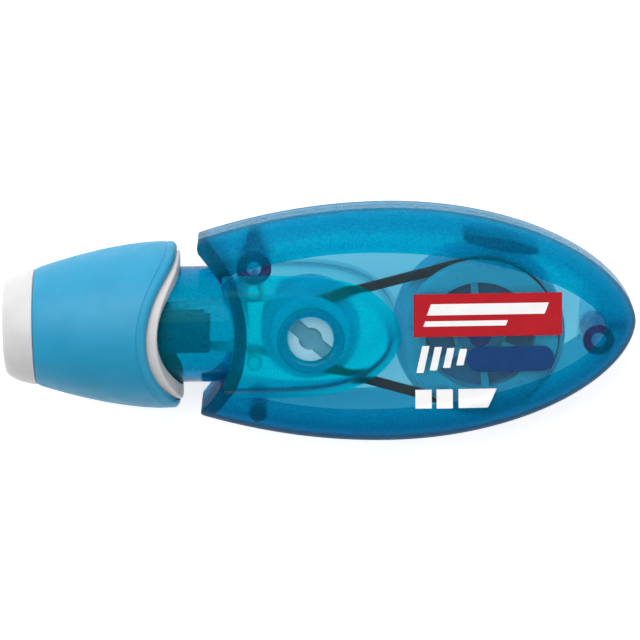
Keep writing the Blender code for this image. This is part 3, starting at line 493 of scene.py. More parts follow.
def prism(name, outline, bottom, top, edge=0.0):
    """Outline in plan between two heights, its upper edge eased by a small slope."""
    bm = bmesh.new()
    centre = Vector((sum(p[0] for p in outline), sum(p[1] for p in outline))) / len(outline)
    rings = []
    for height, ease in ((bottom, 0.0), (top - edge, 0.0), (top, edge)):
        ring = []
        for x, y in outline:
            inward = (centre - Vector((x, y))).normalized() * ease
            ring.append(bm.verts.new((x + inward.x, y + inward.y, height)))
        rings.append(ring)
    bridge(bm, rings)
    bm.faces.new(rings[0])
    bm.faces.new(rings[-1])
    return closed(bm, name)


# ---------------------------------------------------------------- materials

# Places of a mix node's two colours among its inputs, and of its colour among its outputs.
MIX_COLOURS = (6, 7)
MIX_RESULT = 2


def set_inputs(target, **values):
    """Set inputs by name, with underscores for the spaces."""
    for key, value in values.items():
        target.inputs[key.replace("_", " ")].default_value = value


def node(tree, kind, **inputs):
    made = tree.nodes.new(kind)
    set_inputs(made, **inputs)
    return made


def start_material(name):
    material = bpy.data.materials.new(name)
    material.use_nodes = True
    tree = material.node_tree
    shader = tree.nodes["Principled BSDF"]
    coordinates = tree.nodes.new("ShaderNodeTexCoord").outputs["Object"]
    return material, tree, shader, coordinates


def noise(tree, coordinates, size, detail=3.0):
    """Noise whose features are about the given size in metres."""
    texture = node(tree, "ShaderNodeTexNoise", Scale=1 / size, Detail=detail, Roughness=0.55)
    tree.links.new(coordinates, texture.inputs["Vector"])
    return texture.outputs["Fac"]


def spread(tree, value, low, high):
    """Map a 0 to 1 value, mostly between 0.3 and 0.7, to a range."""
    ranged = node(tree, "ShaderNodeMapRange", From_Min=0.3, From_Max=0.7, To_Min=low, To_Max=high)
    tree.links.new(value, ranged.inputs["Value"])
    return ranged.outputs["Result"]


def mottle(tree, value, dark, light):
    """Soft patches of two close colours."""
    ramp = tree.nodes.new("ShaderNodeValToRGB")
    ramp.color_ramp.elements[0].position = 0.35
    ramp.color_ramp.elements[1].position = 0.65
    ramp.color_ramp.elements[0].color = (*dark, 1)
    ramp.color_ramp.elements[1].color = (*light, 1)
    tree.links.new(value, ramp.inputs["Fac"])
    return ramp.outputs["Color"]


def bumps(tree, shader, heights):
    """Chain of bumps: (height output, depth in metres) pairs."""
    normal = None
    for height, depth in heights:
        bump = node(tree, "ShaderNodeBump", Strength=1.0, Distance=depth)
        tree.links.new(height, bump.inputs["Height"])
        if normal:
            tree.links.new(normal, bump.inputs["Normal"])
        normal = bump.outputs["Normal"]
    tree.links.new(normal, shader.inputs["Normal"])


def scaled(tree, value, factor):
    product = node(tree, "ShaderNodeMath")
    product.operation = "MULTIPLY"
    tree.links.new(value, product.inputs[0])
    if isinstance(factor, float):
        product.inputs[1].default_value = factor
    else:
        tree.links.new(factor, product.inputs[1])
    return product.outputs["Value"]


def blended(tree, amount, first, second):
    """Colour between two colours, given as outputs or as plain triples."""
    mix = tree.nodes.new("ShaderNodeMix")
    mix.data_type = "RGBA"
    tree.links.new(amount, mix.inputs["Factor"])
    for number, colour in zip(MIX_COLOURS, (first, second)):
        socket = mix.inputs[number]
        if isinstance(colour, tuple):
            socket.default_value = (*colour, 1)
        else:
            tree.links.new(colour, socket)
    return mix.outputs[MIX_RESULT]


def absorbing(tree, tint, density):
    absorb = node(tree, "ShaderNodeVolumeAbsorption", Color=(*tint, 1), Density=density)
    tree.links.new(absorb.outputs["Volume"], tree.nodes["Material Output"].inputs["Volume"])


def case_plastic():
    """Translucent moulded plastic whose skin is frosted, sparkling or polished by the attribute, which also
    darkens it with painted shade.
    """
    material, tree, shader, coordinates = start_material("case_plastic")
    skin = tree.nodes.new("ShaderNodeAttribute")
    skin.attribute_name = "skin"
    split = tree.nodes.new("ShaderNodeSeparateColor")
    tree.links.new(skin.outputs["Color"], split.inputs["Color"])
    frost, sparkle, deep = (split.outputs[name] for name in ("Red", "Green", "Blue"))

    mottled = mottle(tree, noise(tree, coordinates, 0.38 * MM, 4.0), DEEP_TINT_DARK, DEEP_TINT_LIGHT)
    cyan = blended(tree, scaled(tree, deep, CYAN_RATE), (1.0, 1.0, 1.0), (0.0, 1.0, 1.0))
    tinted = blended(tree, deep, cyan, mottled)
    # The attribute's alpha darkens the colour towards SHADE_TINT: painted shade.
    tree.links.new(blended(tree, skin.outputs["Alpha"], tinted, SHADE_TINT), shader.inputs["Base Color"])
    frosting = spread(tree, noise(tree, coordinates, 1.2 * MM), *FROST_ROUGHNESS)
    tree.links.new(scaled(tree, frosting, frost), shader.inputs["Roughness"])
    clear = node(tree, "ShaderNodeMath")
    clear.operation = "MULTIPLY_ADD"
    tree.links.new(deep, clear.inputs[0])
    clear.inputs[1].default_value = -CASE_THROUGH_DEEP_LOSS
    clear.inputs[2].default_value = CASE_THROUGH
    tree.links.new(clear.outputs["Value"], shader.inputs["Transmission Weight"])
    set_inputs(shader, IOR=CASE_IOR, Specular_IOR_Level=CASE_REFLECTION, Specular_Tint=REFLECTION_TINT)
    grain = scaled(tree, noise(tree, coordinates, 0.16 * MM, 2.0), frost)
    flecks = scaled(tree, noise(tree, coordinates, 0.4 * MM, 2.0), sparkle)
    flow = noise(tree, coordinates, 9 * MM, 1.0)
    bumps(tree, shader, [(grain, GRAIN_DEPTH), (flecks, FLECK_DEPTH), (flow, FLOW_DEPTH)])
    absorbing(tree, CASE_TINT, CASE_DENSITY)
    return material


def tinted_plastic(name, roughness, tint, density, base, through):
    """Translucent plastic of the inner parts."""
    material, tree, shader, coordinates = start_material(name)
    paler = tuple(min(1.0, channel * 1.04) for channel in base)
    tree.links.new(mottle(tree, noise(tree, coordinates, 0.8 * MM), base, paler), shader.inputs["Base Color"])
    set_inputs(shader, Transmission_Weight=through, IOR=INNER_IOR, Specular_IOR_Level=INNER_REFLECTION,
               Specular_Tint=REFLECTION_TINT)
    low, high = roughness
    tree.links.new(spread(tree, noise(tree, coordinates, 2.6 * MM), low, high), shader.inputs["Roughness"])
    bumps(tree, shader, [(noise(tree, coordinates, 0.6 * MM, 2.0), 0.004 * MM)])
    absorbing(tree, tint, density)
    return material


def solid_plastic(name, dark, light, roughness, grain=0.12 * MM, depth=0.01 * MM, patch=3 * MM,
                  subsurface=0.0, coat=0.0):
    """Opaque plastic, rubber, paper or film with mottled colour and fine grain."""
    material, tree, shader, coordinates = start_material(name)
    tree.links.new(mottle(tree, noise(tree, coordinates, patch), dark, light),
                   shader.inputs["Base Color"])
    low, high = roughness
    tree.links.new(spread(tree, noise(tree, coordinates, patch / 3), low, high),
                   shader.inputs["Roughness"])
    set_inputs(shader, Coat_Weight=coat, Specular_IOR_Level=OPAQUE_REFLECTION)
    if subsurface:
        set_inputs(shader, Subsurface_Weight=subsurface, Subsurface_Radius=(1.0, 1.0, 1.0),
                   Subsurface_Scale=SUBSURFACE_DEPTH)
    bumps(tree, shader, [(noise(tree, coordinates, grain, 2.0), depth),
                         (noise(tree, coordinates, patch * 2, 1.0), depth * 4)])
    return material


STAND_INS = [bpy.data.materials.new("stand_in") for _ in SKINS]

MATERIALS = {
    "case": case_plastic(),
    "holder": tinted_plastic("holder_plastic", (0.25, 0.4), (0.0, 0.55, 0.78), 400.0, (0.0, 0.13, 0.27), 0.3),
    "spool": tinted_plastic("spool_plastic", (0.25, 0.4), (0.0, 0.72, 0.85), 250.0, (0.0, 0.80, 1.0), 0.4),
    "white": solid_plastic("white_plastic", (0.54, 0.535, 0.54), (0.57, 0.565, 0.57), (0.32, 0.44),
                           subsurface=0.25),
    "grip": solid_plastic("grip_plastic", (0.010, 0.245, 0.42), (0.013, 0.265, 0.455), (0.42, 0.58),
                          0.14 * MM, 0.010 * MM, 6 * MM, subsurface=0.15),
    "belt": solid_plastic("belt_rubber", (0.003, 0.003, 0.004), (0.006, 0.006, 0.007), (0.55, 0.8)),
    "tape": solid_plastic("tape_coating", (0.78, 0.78, 0.77), (0.84, 0.84, 0.83), (0.6, 0.75)),
    "film": solid_plastic("backing_film", (0.55, 0.66, 0.70), (0.62, 0.72, 0.76), (0.15, 0.3), coat=0.4),
    "knob": solid_plastic("knob_plastic", (0.27, 0.52, 0.64), (0.30, 0.56, 0.68), (0.3, 0.42),
                          subsurface=0.3),
    # web_shade is painted shade: a dark colour for the thin ring over the wheel's web and for the pulley
    # clip.
    "web": solid_plastic("web_shade", (0.0, 0.22, 0.36), (0.0, 0.25, 0.40), (0.3, 0.42)),
    # knob_shade is painted shade in the knob's slot and eye.
    "slot": solid_plastic("knob_shade", (0.065, 0.25, 0.34), (0.08, 0.28, 0.38), (0.3, 0.42)),
}
for ink, (dark_ink, light_ink) in INKS.items():
    MATERIALS[ink] = solid_plastic(ink, dark_ink, light_ink, INK_ROUGHNESS, depth=INK_DEPTH)


# ---------------------------------------------------------------- case

def outline_point(index, inset, widest_x, half_height, front_reach, tail_reach, tail_power):
    """Point of a half outline of the case, from the front (0) to the tail."""
    if index <= FRONT_STEPS:
        x = CASE_FRONT_X + (widest_x - CASE_FRONT_X) * index / FRONT_STEPS
        return x, half_height * (1 - ((widest_x - x) / front_reach) ** 2) - inset
    turn = math.pi / 2 * (index - FRONT_STEPS) / TAIL_STEPS
    x = widest_x + (tail_reach - inset) * math.sin(turn)
    return x, (half_height - inset) * abs(math.cos(turn)) ** tail_power


def case_section(index, inset, recess):
    """Closed loop across the case: rim, shoulder, chamfer and panel on all four quarters."""
    rim_x, rim_y = outline_point(index, RIM_WALL if inset else 0.0, *RIM_OUTLINE)
    panel_x, panel_y = outline_point(index, 0.0, *PANEL_OUTLINE)
    quarter = []
    for step in range(SHOULDER_STEPS + 1):
        turn = math.pi / 2 * step / SHOULDER_STEPS
        blend = 1 - math.cos(turn)
        height = RIM_HALF_DEPTH + (PANEL_HALF_DEPTH - inset - RIM_HALF_DEPTH) * math.sin(turn)
        quarter.append((rim_x + (panel_x - rim_x) * blend, rim_y + (panel_y - rim_y) * blend, height))
    if recess:
        x, y = outline_point(index, PANEL_CHAMFER, *PANEL_OUTLINE)
        quarter.append((x, y, PANEL_HALF_DEPTH - recess))
    upper = quarter + [(x, -y, z) for x, y, z in reversed(quarter)]
    return upper + [(x, y, -z) for x, y, z in reversed(upper)]


def case_solid(name, inset, recess=0.0):
    """Leaf-shaped body; with a recess it has frosted, sparkling and clear faces."""
    bm = bmesh.new()
    rings = []
    for index in range(FRONT_STEPS + TAIL_STEPS + 1):
        section = case_section(index, inset, recess)
        rings.append([bm.verts.new((x, y, z + AXIS)) for x, y, z in section])
    quarter = len(rings[0]) // 4

    def skin(_, corner):
        if not recess:
            return CLEAR
        along = corner % (2 * quarter)
        if along == quarter - 1:
            return CLEAR
        if along == 2 * quarter - 1:
            return RIM
        return SPARKLE if along in (quarter - 2, quarter) else FROSTED

    bridge(bm, rings, index=skin)
    bm.faces.new(rings[0])
    return skinned(closed(bm, name, weld=True))


def hump_solid(name, inset, top, skin):
    """Teardrop plateau on both faces, with sloped, rounded sides."""
    half_width = HUMP_HALF_WIDTH - inset
    foot = HUMP_FOOT - inset
    levels = [(-top, 3.2), (-top + 0.1 * MM, 2.5), (-top + 0.4 * MM, 1.9), (-top + 0.9 * MM, 1.45),
              (-foot - 0.9 * MM, 0.65), (-foot - 0.35 * MM, 0.1), (-foot, -0.6)]
    levels += [(-height, ease) for height, ease in reversed(levels)]
    steps = 48
    bm = bmesh.new()
    rings = []
    for height, ease in levels:
        ease = ease * MM
        upper = []
        for step in range(steps + 1):
            along = math.sin(math.pi / 2 * step / steps)
            x = HUMP_START_X + (HUMP_LENGTH - inset - ease * HUMP_TAIL_EASE) * along
            upper.append((x, (half_width - ease) * (1 - along ** HUMP_FULLNESS) ** HUMP_TAIL_POWER))
        loop = upper + [(x, -y) for x, y in reversed(upper[:-1])]
        rings.append([bm.verts.new((x, y + TAKE_UP.y, height + AXIS)) for x, y in loop])
    bridge(bm, rings)
    for ring in (rings[0], rings[-1]):
        bm.faces.new(ring)
    return skinned(closed(bm, name), skin)


def lobe_cutter(side):
    """Prism that takes the sharp point off one of the two lobes beside the saddle."""
    along_rim = heading(LOBE_RIM_HEADING)
    along_saddle = heading(LOBE_SADDLE_HEADING)
    half = math.radians(LOBE_OPENING) / 2
    radius = LOBE_ROUNDING
    inward = (along_rim + along_saddle).normalized()
    centre = LOBE_TIP + inward * radius / math.sin(half)
    first = LOBE_TIP + along_rim * radius / math.tan(half)
    last = LOBE_TIP + along_saddle * radius / math.tan(half)
    start = math.atan2(*(first - centre).yx)
    end = math.atan2(*(last - centre).yx) + 2 * math.pi
    points = [LOBE_TIP - inward * 4 * MM]
    steps = 8
    for step in range(steps + 1):
        angle = start + (end - start) * step / steps
        points.append(centre + Vector((math.cos(angle), math.sin(angle))) * radius)
    outline = [(point.x, side * point.y) for point in points]
    return skinned(prism("lobe_cutter", outline, AXIS - CUT_REACH, AXIS + CUT_REACH), FROSTED)


def hollow_case():
    """Whole hollow case, before it is parted into two shells."""
    centre = Vector((0, 0, AXIS))
    outer = case_solid("case", 0.0, PANEL_RECESS)
    cavity = case_solid("cavity", WALL)
    hump = hump_solid("hump", 0.0, HUMP_TOP, HUMP)
    hump_cavity = hump_solid("hump_cavity", HUMP_WALL, HUMP_TOP - HUMP_WALL, SOFT)
    saddle = cylinder("saddle", SADDLE_CENTRE_X, 0, SADDLE_RADIUS, -CUT_REACH, CUT_REACH, FINE_STEPS)
    saddle_inner = cylinder("saddle_inner", SADDLE_CENTRE_X, 0, SADDLE_RADIUS + FRONT_WALL, -CUT_REACH,
                            CUT_REACH, FINE_STEPS)
    skinned(saddle, FROSTED)
    skinned(saddle_inner, CLEAR)
    neck = rounded([(0, NECK_END_X), (NECK_RADIUS, NECK_END_X), (NECK_RADIUS, NECK_STEP_X),
                    (FRONT_NECK_RADIUS, NECK_STEP_X), (FRONT_NECK_RADIUS, FRONT_NECK_X),
                    (0, FRONT_NECK_X)], NECK_ROUNDING)
    neck = on_axis(neck, NECK_ROUNDING)
    neck = skinned(revolve("neck", neck, centre, True), NECK)
    step = NECK_STEP_X + NECK_WALL
    wide = NECK_RADIUS - NECK_WALL
    bore = [(0, NECK_END_X + 2 * MM), (wide, NECK_END_X + 2 * MM), (wide, step), (FRONT_NECK_BORE, step),
            (FRONT_NECK_BORE, FRONT_NECK_X - MM), (0, FRONT_NECK_X - MM)]
    bore = skinned(revolve("bore", bore, centre, True, ROUND_STEPS - 6), CLEAR)
    cavity.location.y = CAVITY_SHIFT
    boolean(cavity, "UNION", hump_cavity)
    boolean(cavity, "DIFFERENCE", saddle_inner)
    boolean(cavity, "UNION", bore)
    boolean(outer, "UNION", hump)
    boolean(outer, "DIFFERENCE", saddle)
    lobes = [lobe_cutter(side) for side in (-1, 1)]
    for lobe in lobes:
        boolean(outer, "DIFFERENCE", lobe)
    boolean(outer, "UNION", neck)
    boolean(outer, "DIFFERENCE", cavity)
    applied(outer)
    remove(hump, hump_cavity, saddle, saddle_inner, neck, bore, cavity, *lobes)
    return outer


def add_tool(shell, operation, tool, used):
    boolean(shell, operation, tool)
    used.append(tool)


def add_block(shell, name, outline, heights, used):
    """Join an upright block with a clear skin to a shell."""
    bottom, top = heights
    add_tool(shell, "UNION", skinned(prism(name, outline, AXIS + bottom, AXIS + top), CLEAR), used)


def shell_half(name, case, side):
    """Upper (1) or lower (-1) half of the case with its keyway and partition, and the tools it uses."""
    shell = link(bpy.data.objects.new(name, case.data.copy()))
    low, high = sorted((side * PARTING_GAP, side * HALF_HEIGHT))
    used = []
    half = box(name + "_half", (-HALF_REACH, -HALF_REACH, low), (HALF_REACH, HALF_REACH, high))
    add_tool(shell, "INTERSECT", skinned(half, CLEAR), used)
    keyway = box("keyway", (FRONT_NECK_X - MM, -KEYWAY_HALF, -KEYWAY_REACH),
                 (KEYWAY_END_X, KEYWAY_HALF, KEYWAY_REACH))
    add_tool(shell, "DIFFERENCE", skinned(keyway, CLEAR), used)
    low, high = sorted((side * PARTITION_LOW, side * PARTITION_HIGH))
    partition = prism("partition", partition_outline(), AXIS + low, AXIS + high)
    add_tool(shell, "UNION", skinned(partition, NECK), used)
    return shell, used


def partition_outline():
    """Band round the saddle's centre, behind the saddle's wall."""
    turns = range(-PARTITION_TURN, PARTITION_TURN + 1, 3)
    points = []
    for radius, angles in ((PARTITION_INNER, turns), (PARTITION_OUTER, reversed(turns))):
        for angle in angles:
            turn = math.radians(angle)
            points.append((SADDLE_CENTRE_X + radius * math.cos(turn), radius * math.sin(turn)))
    return points


def oval(centre, half_length, half_width, tilt, steps=48):
    """Outline of a tilted ellipse."""
    points = []
    for step in range(steps):
        turn = 2 * math.pi * step / steps
        along = half_length * math.cos(turn)
        across = half_width * math.sin(turn)
        points.append((centre.x + along * math.cos(tilt) - across * math.sin(tilt),
                       centre.y + along * math.sin(tilt) + across * math.cos(tilt)))
    return points


def boss_tube(name, x, y, radius, bottom, top):
    """Tube that stands on a shell's inner face."""
    if radius < PIN_RADIUS_MOST:
        return skinned(cylinder(name, x, y, radius, bottom, top), CLEAR)
    profile = [(BOSS_BORE, top), (radius, top), (radius, bottom), (BOSS_BORE, bottom)]
    return skinned(revolve(name, profile, Vector((x, y, AXIS)), steps=TUBE_STEPS), CLEAR)


def finish_shell(shell, used, node_name):
    """Apply a shell's tools, store its skins and let it stand for its CAD node."""
    applied(shell)
    remove(*used)
    store_skins(shell)
    weighted = shell.modifiers.new("weighted", "WEIGHTED_NORMAL")
    weighted.keep_sharp = True
    weighted.weight = NORMAL_WEIGHT
    return piece(shell, "case", "case_shell", MATERIALS["case"], node_name)


def build_case():
    """Both shells; the front one is returned, as the print is laid over it."""
    case = hollow_case()

    front, used = shell_half("case_front", case, 1)
    collar = rounded(in_mm(*COLLAR_PROFILE), 0.35 * MM)
    add_tool(front, "UNION", skinned(revolve("collar", collar, at_axis(TAKE_UP)), HUMP), used)
    knob_hole = cylinder("knob_hole", TAKE_UP.x, TAKE_UP.y, KNOB_HOLE_RADIUS, 3 * MM, 12 * MM, 96)
    add_tool(front, "DIFFERENCE", skinned(knob_hole, CLEAR), used)
    for x, y, radius in BOSSES:
        add_tool(front, "UNION", boss_tube("pin_root", x, y, radius, *FRONT_BOSS_HEIGHTS), used)
    add_block(front, "gusset", in_mm(*FRONT_GUSSET), FRONT_GUSSET_HEIGHTS, used)
    printed_face = finish_shell(front, used, "front_shell")

    rear, used = shell_half("case_rear", case, -1)
    for y in (GUIDE_Y, -GUIDE_Y):
        guide = revolve("guide", in_mm(*GUIDE_PROFILE), Vector((GUIDE_X, y, AXIS)), steps=32)
        add_tool(rear, "UNION", skinned(guide, CLEAR), used)
    for x, y, radius in BOSSES:
        add_tool(rear, "UNION", boss_tube("boss", x, y, radius, *REAR_BOSS_HEIGHTS), used)
    for centre, *sizes in POSTS:
        post = cylinder("post", centre.x, centre.y, *(size * MM for size in sizes))
        add_tool(rear, "UNION", skinned(post, CLEAR), used)
    add_block(rear, "tail_pad", in_mm(*TAIL_PAD), TAIL_PAD_HEIGHTS, used)
    add_block(rear, "gusset", in_mm(*REAR_GUSSET), REAR_GUSSET_HEIGHTS, used)
    guard = oval(GUARD_CENTRE, GUARD_HALF_LENGTH, GUARD_HALF_WIDTH, math.radians(GUARD_TILT))
    add_block(rear, "guard", guard, GUARD_HEIGHTS, used)
    for corners in RIBS:
        add_tool(rear, "UNION", skinned(box("rib", *in_mm(*corners)), CLEAR), used)
    finish_shell(rear, used, "rear_shell")
    remove(case)
    return printed_face


# ---------------------------------------------------------------- sleeve

def grip_radius(x):
    forward = max(0.0, (GRIP_TAPER_FROM - x) / GRIP_TAPER_LENGTH)
    return GRIP_RADIUS - GRIP_TAPER * forward ** GRIP_TAPER_POWER


def scooped(across, radius, rear_x):
    """Rear edge of the sleeve where it is this far across: a scoop, cut off at the lobes."""
    across = min(abs(across), radius * 0.98)
    scoop = SCOOP_CENTRE_X - math.sqrt(radius ** 2 - across ** 2)
    return -SCOOP_SOFTNESS * math.log(math.exp(-scoop / SCOOP_SOFTNESS) + math.exp(-rear_x / SCOOP_SOFTNESS))


def sleeve_tube(name, front, count, outer_of, inner_of, edge_of, corner, groove=0.0, steps=192):
    """Tube along X whose rear edge follows edge_of, with a rounded outer rear corner."""
    bm = bmesh.new()
    rings = []
    for step in range(steps):
        turn = 2 * math.pi * step / steps
        across = math.cos(turn)
        edge = edge_of(across)
        last = edge - EDGE_BAND
        back = edge - corner
        loop = []
        for station in range(count + 1):
            x = front + (last - front) * station / count
            loop.append((x, outer_of(x)))
        for offset, depth in ((1.75, 0), (1.65, groove), (1.5, groove), (1.4, 0)):
            x = edge - offset * MM
            loop.append((x, outer_of(x) - depth))
        outer = outer_of(back)
        for part in range(1, 7):
            angle = math.pi / 2 * part / 6
            loop.append((back + corner * math.sin(angle), outer - corner * (1 - math.cos(angle))))
        for station in range(count, -1, -1):
            x = front + (edge - front) * station / count
            loop.append((x, inner_of(x)))
        rings.append([bm.verts.new((x, radius * across, AXIS + radius * math.sin(turn)))
                      for x, radius in loop])
    rings.append(rings[0])
    bridge(bm, rings)
    return closed(bm, name, SLEEVE_SMOOTH_ANGLE, weld=True)


def build_sleeve():
    def grip_outer(x):
        ease = max(0.0, GRIP_EASE - (x - GRIP_FRONT_X)) / GRIP_EASE
        return grip_radius(x) - 0.15 * MM * ease ** 2

    def grip_edge(across):
        return scooped(across * GRIP_SCOOP_ACROSS, GRIP_SCOOP_RADIUS, GRIP_REAR_X)

    grip = sleeve_tube("twist_grip", GRIP_FRONT_X, 26, grip_outer,
                       lambda x: grip_radius(x) - GRIP_THICKNESS, grip_edge, 1.0 * MM, 0.1 * MM)
    piece(grip, "sleeve", "grip_plastic", MATERIALS["grip"], "sleeve_grip")

    def liner_edge(across):
        return scooped(across * LINER_SCOOP_ACROSS, LINER_SCOOP_RADIUS, LINER_REAR_X)

    liner = sleeve_tube("liner_skirt", LINER_FRONT_X, 16, lambda x: grip_radius(x) - LINER_INSET,
                        lambda x: LINER_BORE, liner_edge, 0.35 * MM)
    body = []
    for step in range(13):
        x = LINER_FRONT_X + (GRIP_FRONT_X - LINER_FRONT_X) * step / 12
        body.append((grip_radius(x) - LINER_INSET, x))
    body += [(body[-1][0], -47.3 * MM), (9.5 * MM, -47.3 * MM), (NOSE_RADIUS, NOSE_BACK_X)]
    for step in range(1, 13):
        turn = math.pi / 2 * step / 12
        body.append((NOSE_RADIUS - NOSE_TAPER * (1 - math.cos(turn)) ** NOSE_POWER,
                     NOSE_BACK_X + (NOSE_X - NOSE_BACK_X) * math.sin(turn)))
    body += [(5.9 * MM, NOSE_X), (5.6 * MM, NOSE_X + 0.3 * MM)]
    body += in_mm((5.6, -51.2), (7.1, -51.2), (7.1, -41.3), (8.9, -41.3), (8.9, -37.9), (8.0, -37.9))
    body.append((8.0 * MM, LINER_FRONT_X))
    nose = revolve("nose_liner", body, Vector((0, 0, AXIS)), True, 160)
    boolean(nose, "UNION", liner)
    applied(nose)
    remove(liner)
    piece(nose, "sleeve", "white_plastic", MATERIALS["white"], "sleeve_liner")


def build_tip_holder():
    """Tapered holder of the tip, with a fin in the front neck and a capped web in the rear one."""
    spine = rounded(in_mm(*HOLDER_SPINE), 0.3 * MM)
    holder = prism("holder", spine, AXIS - HOLDER_HALF_DEPTH, AXIS + HOLDER_HALF_DEPTH, 0.1 * MM)
    parts = [box("web", *in_mm(*HOLDER_WEB)), box("fin", *in_mm(*HOLDER_FIN))]
    cap = arc_corners(*in_mm(*HOLDER_CAP), 0.5 * MM)
    parts.append(prism("cap", cap, AXIS + 6.9 * MM, AXIS + 7.5 * MM, 0.12 * MM))
    flange = arc_corners(*in_mm(*HOLDER_FLANGE), 0.6 * MM)
    for side in (-1, 1):
        low, high = sorted((side * 2.9 * MM, side * 3.5 * MM))
        parts.append(prism("flange", flange, AXIS + low, AXIS + high, 0.1 * MM))
    for part in parts:
        boolean(holder, "UNION", part)
    dimple = cylinder("dimple", -22.3 * MM, 0.2 * MM, 0.75 * MM, 7.2 * MM, 9 * MM, 32)
    boolean(holder, "DIFFERENCE", dimple)
    applied(holder)
    remove(dimple, *parts)
    piece(holder, "case", "holder_plastic", MATERIALS["holder"], "tip_holder")


# ---------------------------------------------------------------- spools, pulleys and belt

def turned_box(name, corners, centre, degrees):
    """Box between two corners in millimetres, turned about an upright axis."""
    block = box(name, *in_mm(*corners))
    block.location = (centre.x, centre.y, 0)
    block.rotation_euler.z = math.radians(degrees)
    return block


def turned(name, profile, rounding, centre):
    """Body of revolution with rounded corners from a profile in millimetres."""
    return revolve(name, rounded(in_mm(*profile), rounding * MM), centre)


def build_supply():
    centre = at_axis(SUPPLY)
    piece(turned("tape_spool", SUPPLY_PROFILE, 0.2, centre), "supply", "spool_plastic", MATERIALS["spool"],
          "supply_spool")
    piece(turned("tape_roll", ROLL_PROFILE, 0.1, centre), "supply", "tape_paper", MATERIALS["tape"],
          "correction_tape_roll")
    piece(turned("roll_core", CORE_PROFILE, 0.15, centre), "supply", "white_plastic", MATERIALS["white"],
          "tape_core")

    wheel = turned("belt_wheel", BELT_WHEEL_PROFILE, 0.08, centre)
    spokes = []
    for number in range(SPOKE_COUNT):
        spoke = turned_box("spoke", SPOKE_CORNERS, centre, 360 / SPOKE_COUNT * number + SPOKE_START)
        boolean(wheel, "UNION", spoke)
        spokes.append(spoke)
    applied(wheel)
    remove(*spokes)
    piece(wheel, "pulley", "spool_plastic", MATERIALS["spool"], "drive_pulley")
    # Thin dark ring laid on the wheel's web: painted shade of the zone inside the tape roll.
    piece(turned("wheel_web_shade", WEB_PROFILE, 0.04, centre), "pulley", "spool_plastic", MATERIALS["web"])


def build_take_up():
    centre = at_axis(TAKE_UP)
    piece(turned("film_spool", TAKE_UP_PROFILE, 0.12, centre), "take_up", "spool_plastic",
          MATERIALS["spool"], "take_up_spool")
    piece(turned("film_wheel", FILM_WHEEL_PROFILE, 0.12, centre), "take_up", "spool_plastic",
          MATERIALS["spool"], "take_up_pulley")

    knob = rounded(in_mm(*KNOB_PROFILE), KNOB_ROUNDING, 6)
    knob = revolve("slotted_knob", on_axis(knob, KNOB_ROUNDING), centre)
    slot = turned_box("slot", SLOT_CORNERS, centre, KNOB_SLOT_TURN)
    # Floor of the slot and the eye: a thin plate in dark knob_shade, painted shade of the recess.
    floor = turned_box("knob_slot", SLOT_FLOOR_CORNERS, centre, KNOB_SLOT_TURN)
    eye = cylinder("eye", centre.x, centre.y, 1.95 * MM, 7.35 * MM, 9 * MM)
    disc = cylinder("eye_floor", centre.x, centre.y, 1.9 * MM, 7.3 * MM, 7.42 * MM)
    boolean(knob, "DIFFERENCE", slot)
    boolean(knob, "DIFFERENCE", eye)
    boolean(floor, "UNION", disc)
    applied(knob)
    applied(floor)
    remove(slot, eye, disc)
    piece(knob, "take_up", "knob_plastic", MATERIALS["knob"], "tension_knob")
    piece(floor, "take_up", "knob_plastic", MATERIALS["slot"])


def belt_loop(radius_offset):
    """Closed outline round both pulleys, offset from the belt's centre line."""
    big = BELT_SUPPLY_RADIUS + radius_offset
    small = BELT_TAKE_UP_RADIUS + radius_offset
    line = (SUPPLY - TAKE_UP).xy
    slope = math.atan2(line.y, line.x)
    tilt = math.acos((big - small) / line.length)
    points = []
    steps = 96
    for centre, radius, start, end in ((SUPPLY, big, slope - math.pi + tilt, slope + math.pi - tilt),
                                       (TAKE_UP, small, slope + math.pi - tilt, slope + math.pi + tilt)):
        for step in range(steps + 1):
            angle = start + (end - start) * step / steps
            points.append((centre.x + radius * math.cos(angle), centre.y + radius * math.sin(angle)))
    return points


def build_belt():
    half = BELT_HALF_WIDTH
    section = rounded([(-half, BELT_BOTTOM), (half, BELT_BOTTOM), (half, BELT_TOP), (-half, BELT_TOP)],
                      0.25 * MM)
    loops = [belt_loop(offset) for offset, _ in section]
    bm = bmesh.new()
    rings = []
    for index in range(len(loops[0])):
        ring = []
        for loop, (_, height) in zip(loops, section):
            x, y = loop[index]
            ring.append(bm.verts.new((x, y, AXIS + height)))
        rings.append(ring)
    rings.append(rings[0])
    bridge(bm, rings)
    piece(closed(bm, "rubber_belt"), "case", "belt_rubber", MATERIALS["belt"], "drive_belt")


# ---------------------------------------------------------------- print on the window panel

def slanted_bar(low, high, lean):
    """Bar between two corners, in millimetres, whose top leans towards the tail."""
    return in_mm((low[0], low[1]), (high[0], low[1]), (high[0] + lean, high[1]), (low[0] + lean, high[1]))


def printed(name, outline, lift, material, surface):
    """Thin print in plan, cut into a grid and laid over the case's outer face."""
    bm = bmesh.new()
    bm.faces.new([bm.verts.new((x, y, 0)) for x, y in outline])
    for axis in (0, 1):
        low = min(point[axis] for point in outline)
        high = max(point[axis] for point in outline)
        direction = Vector((1 - axis, axis, 0))
        for line in range(1, math.ceil((high - low) / PRINT_GRID)):
            bmesh.ops.bisect_plane(bm, geom=bm.verts[:] + bm.edges[:] + bm.faces[:], dist=CUT_TOLERANCE,
                                   plane_co=direction * (low + line * PRINT_GRID), plane_no=direction)
    for vert in bm.verts:
        above = Vector((vert.co.x, vert.co.y, AXIS + RAY_HEIGHT))
        hit = surface.ray_cast(above, Vector((0, 0, -1)))[0]
        vert.co.z = hit.z + lift
    bmesh.ops.solidify(bm, geom=bm.faces[:], thickness=PRINT_THICKNESS)
    piece(closed(bm, name), "case", "case_shell", MATERIALS[material])


